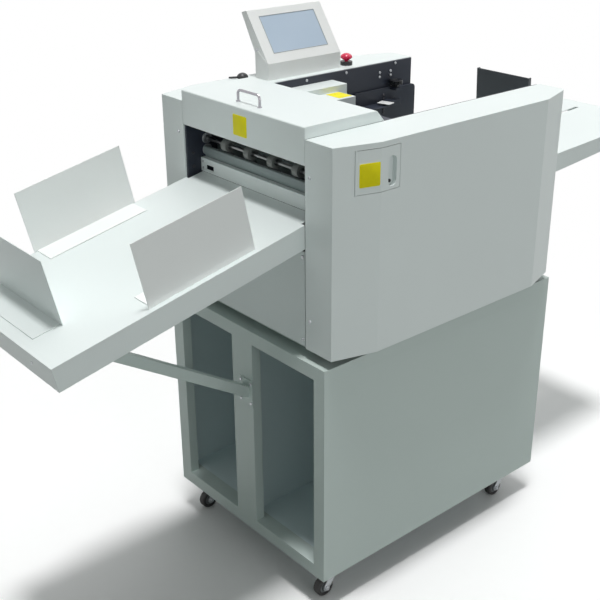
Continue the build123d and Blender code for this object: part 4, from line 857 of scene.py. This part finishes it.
def addGuideKnobs():
    # broad fluted clamp knob with a recessed cap on a threaded pin, in place of the plain solid
    knob = dict(flutes=30, fluteDepth=0.0006, radius=0.018, x=0.684, y=0.193)
    pin = [(0.0025, 1.0743), (0.0025, 1.0843)]
    stem = [(0.0085, 1.0843), (0.0090, 1.0849), (0.0090, 1.0926)]
    grip = [(0.0168, 1.0926), (knob["radius"], 1.0938), (knob["radius"], 1.1030), (0.0170, 1.1041)]
    cap = [(0.0086, 1.1046), (0.0074, 1.1040), (0.0070, 1.1032)]
    turnOfOne = 2.0 * pi / knob["flutes"]

    def inFlute(vertex):
        # one vertex in four round the grip
        point = Vector((vertex.co.x, vertex.co.y))
        if point.length < knob["radius"] - hair:
            return False
        turn = point.angle_signed(Vector((1.0, 0.0)), 0.0)
        return round((turn % turnOfOne) / (turnOfOne / 4)) % 4 == 2

    for name, node, body, side in (("fluteKnobFar", "guide_knob_far", "clamp_knob_far", 1),
                                   ("fluteKnobNear", "guide_knob_near", "clamp_knob_near", -1)):
        makeTurned(pin + stem + grip + cap, knob["flutes"] * 4)
        startEdit("VERT")
        choose("verts", inFlute)
        scaleFlat(1.0 - knob["fluteDepth"] / knob["radius"])
        place = Matrix.Translation(at(knob["x"], knob["y"] * side, 0.0))
        piece = finishPiece(name, body, "black_plastic", finishes["gloss_black"], place)
        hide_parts(node)
    print("clamp knobs")


def addCastorFasteners():
    # hexagon nuts on both ends of each axle, and four bolts under each plate
    nut = dict(radius=0.0062, height=0.0036, chamfer=0.0012, chamferRise=0.0005, stud=0.0012,
               studRise=0.0016, fromWheel=0.0137)
    bolt = dict(plateOffset=0.027, fromMiddle=0.023, plateUnderside=0.086)
    pattern = makeCylinder(6, nut["radius"], nut["height"])
    insetTop(nut["chamfer"])
    bpy.ops.transform.translate(value=(0.0, 0.0, nut["chamferRise"]))
    bpy.ops.mesh.inset(thickness=nut["stud"], depth=0.0)
    extrude(0.0, 0.0, nut["studRise"])
    leaveEdit()
    for corner, castor in castors.items():
        copyTo(pattern, [facing(at(castor["x"], castor["y"] - nut["fromWheel"], axleHeight), near),
                         facing(at(castor["x"], castor["y"] + nut["fromWheel"], axleHeight), far)])
        finishPiece("axleNuts_" + corner, "swivel_" + corner, "zinc_steel")
    sides = (-bolt["fromMiddle"], bolt["fromMiddle"])
    boltPlaces = [at(castor["x"] + bolt["plateOffset"] + dx, castor["y"] + dy, bolt["plateUnderside"])
                  for castor in castors.values() for dx in sides for dy in sides]
    copyTo(pattern, [facing(place, down, far) for place in boltPlaces])
    finishPiece("castorPlateBolts", "machine", "zinc_steel")
    dropPattern(pattern)
    print("castor fasteners")


def addGuideLedges():
    # folded strip along each pile guide, and a pale clip flat on the guide's block
    ledge = dict(start=0.546, end=0.634, reach=0.043, top=1.047, fold=0.009, sheet=0.002, rim=0.0006,
                 face=0.205, sunk=0.0004)
    clip = dict(length=0.038, width=0.028, thickness=0.0014, corner=0.002, x=0.630, y=0.176, z=1.0521,
                along=(0.27, -0.963))
    for name, body, side in (("ledgeFar", "pile_guide_far", 1), ("ledgeNear", "pile_guide_near", -1)):
        makeSheet(ledge["end"] - ledge["start"], ledge["reach"])
        startEdit("EDGE")
        choose("edges", lambda edge: middle(edge).y > ledge["reach"] / 2 - hair)
        extrude(0.0, 0.0, -ledge["fold"])
        leaveEdit()
        useModifier("SOLIDIFY", thickness=ledge["sheet"], offset=-1.0)
        useModifier("BEVEL", width=ledge["rim"], segments=2, limit_method="ANGLE", angle_limit=radians(40))
        turned = Matrix.Rotation(0.0 if side > 0 else pi, 4, "Z")
        y = side * (ledge["face"] - ledge["sunk"] - ledge["reach"] / 2)
        place = Matrix.Translation(at((ledge["start"] + ledge["end"]) / 2, y, ledge["top"]))
        finishPiece(name, body, "frame_black", None, place @ turned)

        makePlate(clip["width"], clip["length"], clip["thickness"], clip["corner"])
        along = (clip["along"][0], clip["along"][1] * side, 0.0)
        finishPiece(name + "Clip", body, "cover_white", finishes["console_plastic"],
                    facing(at(clip["x"], side * clip["y"], clip["z"]), up, along))
    print("guide ledges")


def addExitApron():
    # folded sheet that stands on the step box in front of the lower exit wheels
    apron = dict(half=0.206, sheet=0.001, rim=0.0003)
    profile = [(0.0662, 1.0102), (0.0580, 1.0220), (0.0580, 1.0360), (0.0590, 1.0370), (0.0662, 1.0372)]
    footX, footZ = profile[0]
    steps = [(nextX - x, nextZ - z) for (x, z), (nextX, nextZ) in zip(profile, profile[1:])]
    makeOutline(tuple(at(footX, -apron["half"], footZ)), steps)
    chooseAll()
    bpy.ops.mesh.extrude_edges_move(TRANSFORM_OT_translate={"value": (0.0, 2 * apron["half"], 0.0)})
    leaveEdit()
    useModifier("SOLIDIFY", thickness=apron["sheet"], offset=0.0, use_even_offset=True)
    useModifier("BEVEL", width=apron["rim"], segments=2, limit_method="ANGLE", angle_limit=radians(70))
    startEdit()
    turnOutward()
    leaveEdit()
    finishPiece("exitApron", "machine", "guide_brown")
    print("exit apron")


def addSmallMarks():
    # rivets in the tray's end wall and at the ends of the step box
    rivet = dict(radius=0.0026, rise=0.0011, crown=0.0010, crownRise=0.0005)
    tray = dict(x=-0.5850, z=0.8406, slope=radians(12.06), down=0.0222, y=0.1296)
    box = dict(x=0.053, ys=(-0.203, 0.203), zs=(0.986, 1.001))
    pattern = makeCylinder(24, rivet["radius"], rivet["rise"])
    insetTop(rivet["crown"])
    bpy.ops.transform.translate(value=(0.0, 0.0, rivet["crownRise"]))
    leaveEdit()
    lean, fall = sin(tray["slope"]), cos(tray["slope"])
    trayEnd = at(tray["x"], 0.0, tray["z"]) + Vector((lean, 0.0, -fall)) * tray["down"]
    out = (-fall, 0.0, -lean)
    places = [facing(Vector((trayEnd.x, y, trayEnd.z)), out) for y in (-tray["y"], tray["y"])]
    places += [facing(at(x, y, z), out) for x, y, z, out in gridOf(out=front, **box)]
    copyTo(pattern, places)
    finishPiece("smallRivets", "machine", "zinc_steel")
    dropPattern(pattern)
    print("small rivets")


def addLiftThread():
    # rolled thread of the lift screw: one tooth's outline swept by the pitch, between two plain ends
    thread = dict(core=0.0047, crest=0.0060, pitch=0.005, low=0.7345, high=0.9185, x=0.620, facets=20)
    shares = dict(root=0.34, flank=0.12, crest=0.22, lastRoot=0.20)
    plain = dict(inset=0.0001, rim=0.001, lowOverlap=0.006, highOverlap=0.005)
    depth, pitch = thread["crest"] - thread["core"], thread["pitch"]
    steps = [(0.0, shares["root"] * pitch), (depth, shares["flank"] * pitch),
             (0.0, shares["crest"] * pitch), (-depth, shares["flank"] * pitch),
             (0.0, shares["lastRoot"] * pitch)]
    tooth = makeOutline((thread["core"], 0.0, thread["low"]), steps)
    leaveEdit()
    turns = int((thread["high"] - thread["low"]) / pitch)
    useModifier("SCREW", angle=2.0 * pi, screw_offset=pitch, iterations=turns, steps=thread["facets"],
                render_steps=thread["facets"], use_merge_vertices=True, merge_threshold=doubled)
    startEdit("VERT")
    closeUp()
    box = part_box("lift_screw")
    parts = [tooth]
    for low, high in ((box[0][2], thread["low"] + plain["lowOverlap"]),
                      (thread["high"] - plain["highOverlap"], box[1][2])):
        parts.append(makeCylinder(40, thread["crest"] - plain["inset"], high, low))
        bevelRim(high, plain["rim"])
    joinPieces(*parts)
    place = Matrix.Translation(at(thread["x"], 0.0, 0.0))
    piece = finishPiece("liftThread", "screw", "bright_steel", None, place)
    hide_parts("lift_screw")
    print("lift thread")


def addHandle():
    # bow handle: one round bar bent twice, on two turned feet
    bow = dict(rod=0.003, corner=0.009, pitch=0.076, rise=0.029, place=at(0.043, 0.006, 1.176))
    foot = dict(radius=0.0052, rise=0.0022, rim=0.0008)
    half = bow["pitch"] / 2
    straight = bow["rise"] - bow["rod"] - bow["corner"]

    def bend(y):
        bpy.ops.mesh.spin(steps=8, angle=pi / 2, center=(0.0, y, straight), axis=(1.0, 0.0, 0.0))

    clearChoice()
    bpy.ops.mesh.primitive_circle_add(vertices=20, radius=bow["rod"], fill_type="NGON",
                                      location=(0.0, -half, 0.0))
    bar = bpy.context.object
    bpy.ops.object.transform_apply(location=True)
    startEdit()
    chooseAll()
    extrude(0.0, 0.0, straight)
    bend(-half + bow["corner"])
    extrude(0.0, bow["pitch"] - 2 * bow["corner"], 0.0)
    bend(half - bow["corner"])
    extrude(0.0, 0.0, -straight)
    closeUp()
    feet = []
    for y in (-half, half):
        feet.append(makeCylinder(32, foot["radius"], foot["rise"], y=y))
        bevelRim(foot["rise"], foot["rim"], 3)
    joinPieces(bar, *feet)
    piece = finishPiece("bowHandle", "lid", "handle_chrome", None, Matrix.Translation(bow["place"]))
    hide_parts("cover_handle")
    print("bow handle")


addScrews()
addYellowPlates()
addHatchLatch()
addConsoleTrim()
addAirLever()
addBushFlanges()
addGuideKnobs()
addCastorFasteners()
addGuideLedges()
addExitApron()
addSmallMarks()
addLiftThread()
addHandle()


# Camera, light and floor

def addCamera():
    view = dict(place=(-1.6493, -1.7467, 1.7220), down=24.185, turn=-41.132, lens=61.87, sensor=36.0,
                shiftX=-0.02795, shiftY=-0.01551, farthest=60.0)
    data = bpy.data.cameras.new("viewCamera")
    data.lens = view["lens"]
    data.sensor_width = view["sensor"]
    data.shift_x = view["shiftX"]
    data.shift_y = view["shiftY"]
    data.clip_end = view["farthest"]
    camera = bpy.data.objects.new("viewCamera", data)
    bpy.context.collection.objects.link(camera)
    camera.location = view["place"]
    camera.rotation_euler = (radians(90.0 - view["down"]), 0.0, radians(view["turn"]))
    bpy.context.scene.camera = camera


def addWorld():
    light = dict(colour=rgb(0.93, 1.0, 0.97), strength=0.19)
    world = bpy.data.worlds.new("studioWorld")
    bpy.context.scene.world = world
    sky = Sky(world)
    soft = sky.node("ShaderNodeBackground", {}, {"Color": light["colour"], "Strength": light["strength"]})
    white = sky.node("ShaderNodeBackground", {}, {"Color": palette["white"], "Strength": 1.0})
    shown = sky.node("ShaderNodeMixShader", {}, {0: sky.seenDirectly(), 1: soft, 2: white})
    sky.tree.links.new(shown.socket, sky.tree.nodes["World Output"].inputs["Surface"])


def addFloor():
    ground = dict(size=60.0, whiteFrom=1.1, whiteOver=1.3, low=rgb(0.985, 0.98, 0.98),
                  high=rgb(1.0, 0.995, 0.995), bounced=rgb(0.27, 0.29, 0.285), roughness=0.9)
    clearChoice()
    bpy.ops.mesh.primitive_plane_add(size=ground["size"], location=(0.0, 0.0, 0.0))
    floor = bpy.context.object
    floor.name = "studioFloor"
    paint = Paint("paleFloor")
    seen = paint.seenDirectly()
    shownTone = paint.blendColours(paint.noise(*grains["speck"]), ground["low"], ground["high"])
    tone = paint.blendColours(seen, ground["bounced"], shownTone)
    paint.look(colour=tone, roughness=ground["roughness"], specular=0.0)
    # beyond the shadow's reach the floor is shown as plain white
    farOut = (paint.reach("X", 0.0, "Y", 0.0) - ground["whiteFrom"]) / ground["whiteOver"]
    farOut = farOut.bigger(0.0).smaller(1.0)
    glow = paint.node("ShaderNodeEmission", {}, {"Color": palette["white"], "Strength": 1.0})
    surface = Wire(paint, paint.shader.outputs[0])
    mixed = paint.node("ShaderNodeMixShader", {}, {0: farOut * seen, 1: surface, 2: glow})
    paint.tree.links.new(mixed.socket, paint.tree.nodes["Material Output"].inputs["Surface"])
    floor.data.materials.append(paint.material)


def addLamp(name, kind, place, target, power, **settings):
    data = bpy.data.lights.new(name, kind)
    data.energy = power
    for key, value in settings.items():
        setattr(data, key, value)
    lamp = bpy.data.objects.new(name, data)
    bpy.context.collection.objects.link(lamp)
    lamp.location = place
    aim = Vector(target) - Vector(place)
    lamp.rotation_euler = aim.to_track_quat("-Z", "Y").to_euler()


def addLamps():
    lamps = dict(
        overheadSun=dict(kind="SUN", place=(-0.2, -0.24, 4.0), target=(0.0, 0.0, 0.0), power=1.85,
                         angle=radians(8.0)),
        wideSun=dict(kind="SUN", place=(2.6, 1.0, 4.0), target=(0.0, 0.0, 0.0), power=0.80,
                     angle=radians(60.0)),
        nearLamp=dict(kind="AREA", place=(-0.2, -4.6, 2.0), target=(0.0, 0.0, 0.7), power=32.0,
                      shape="RECTANGLE", size=3.0, size_y=2.0),
        frontLamp=dict(kind="AREA", place=(-2.6, 0.4, 3.0), target=(0.0, 0.0, 1.05), power=3.5,
                       shape="RECTANGLE", size=1.6, size_y=1.2),
    )
    for name, lamp in lamps.items():
        addLamp(name, **lamp)


addCamera()
addWorld()
addFloor()
addLamps()
bpy.context.scene.view_settings.view_transform = "Standard"
print("camera, lamps and floor")
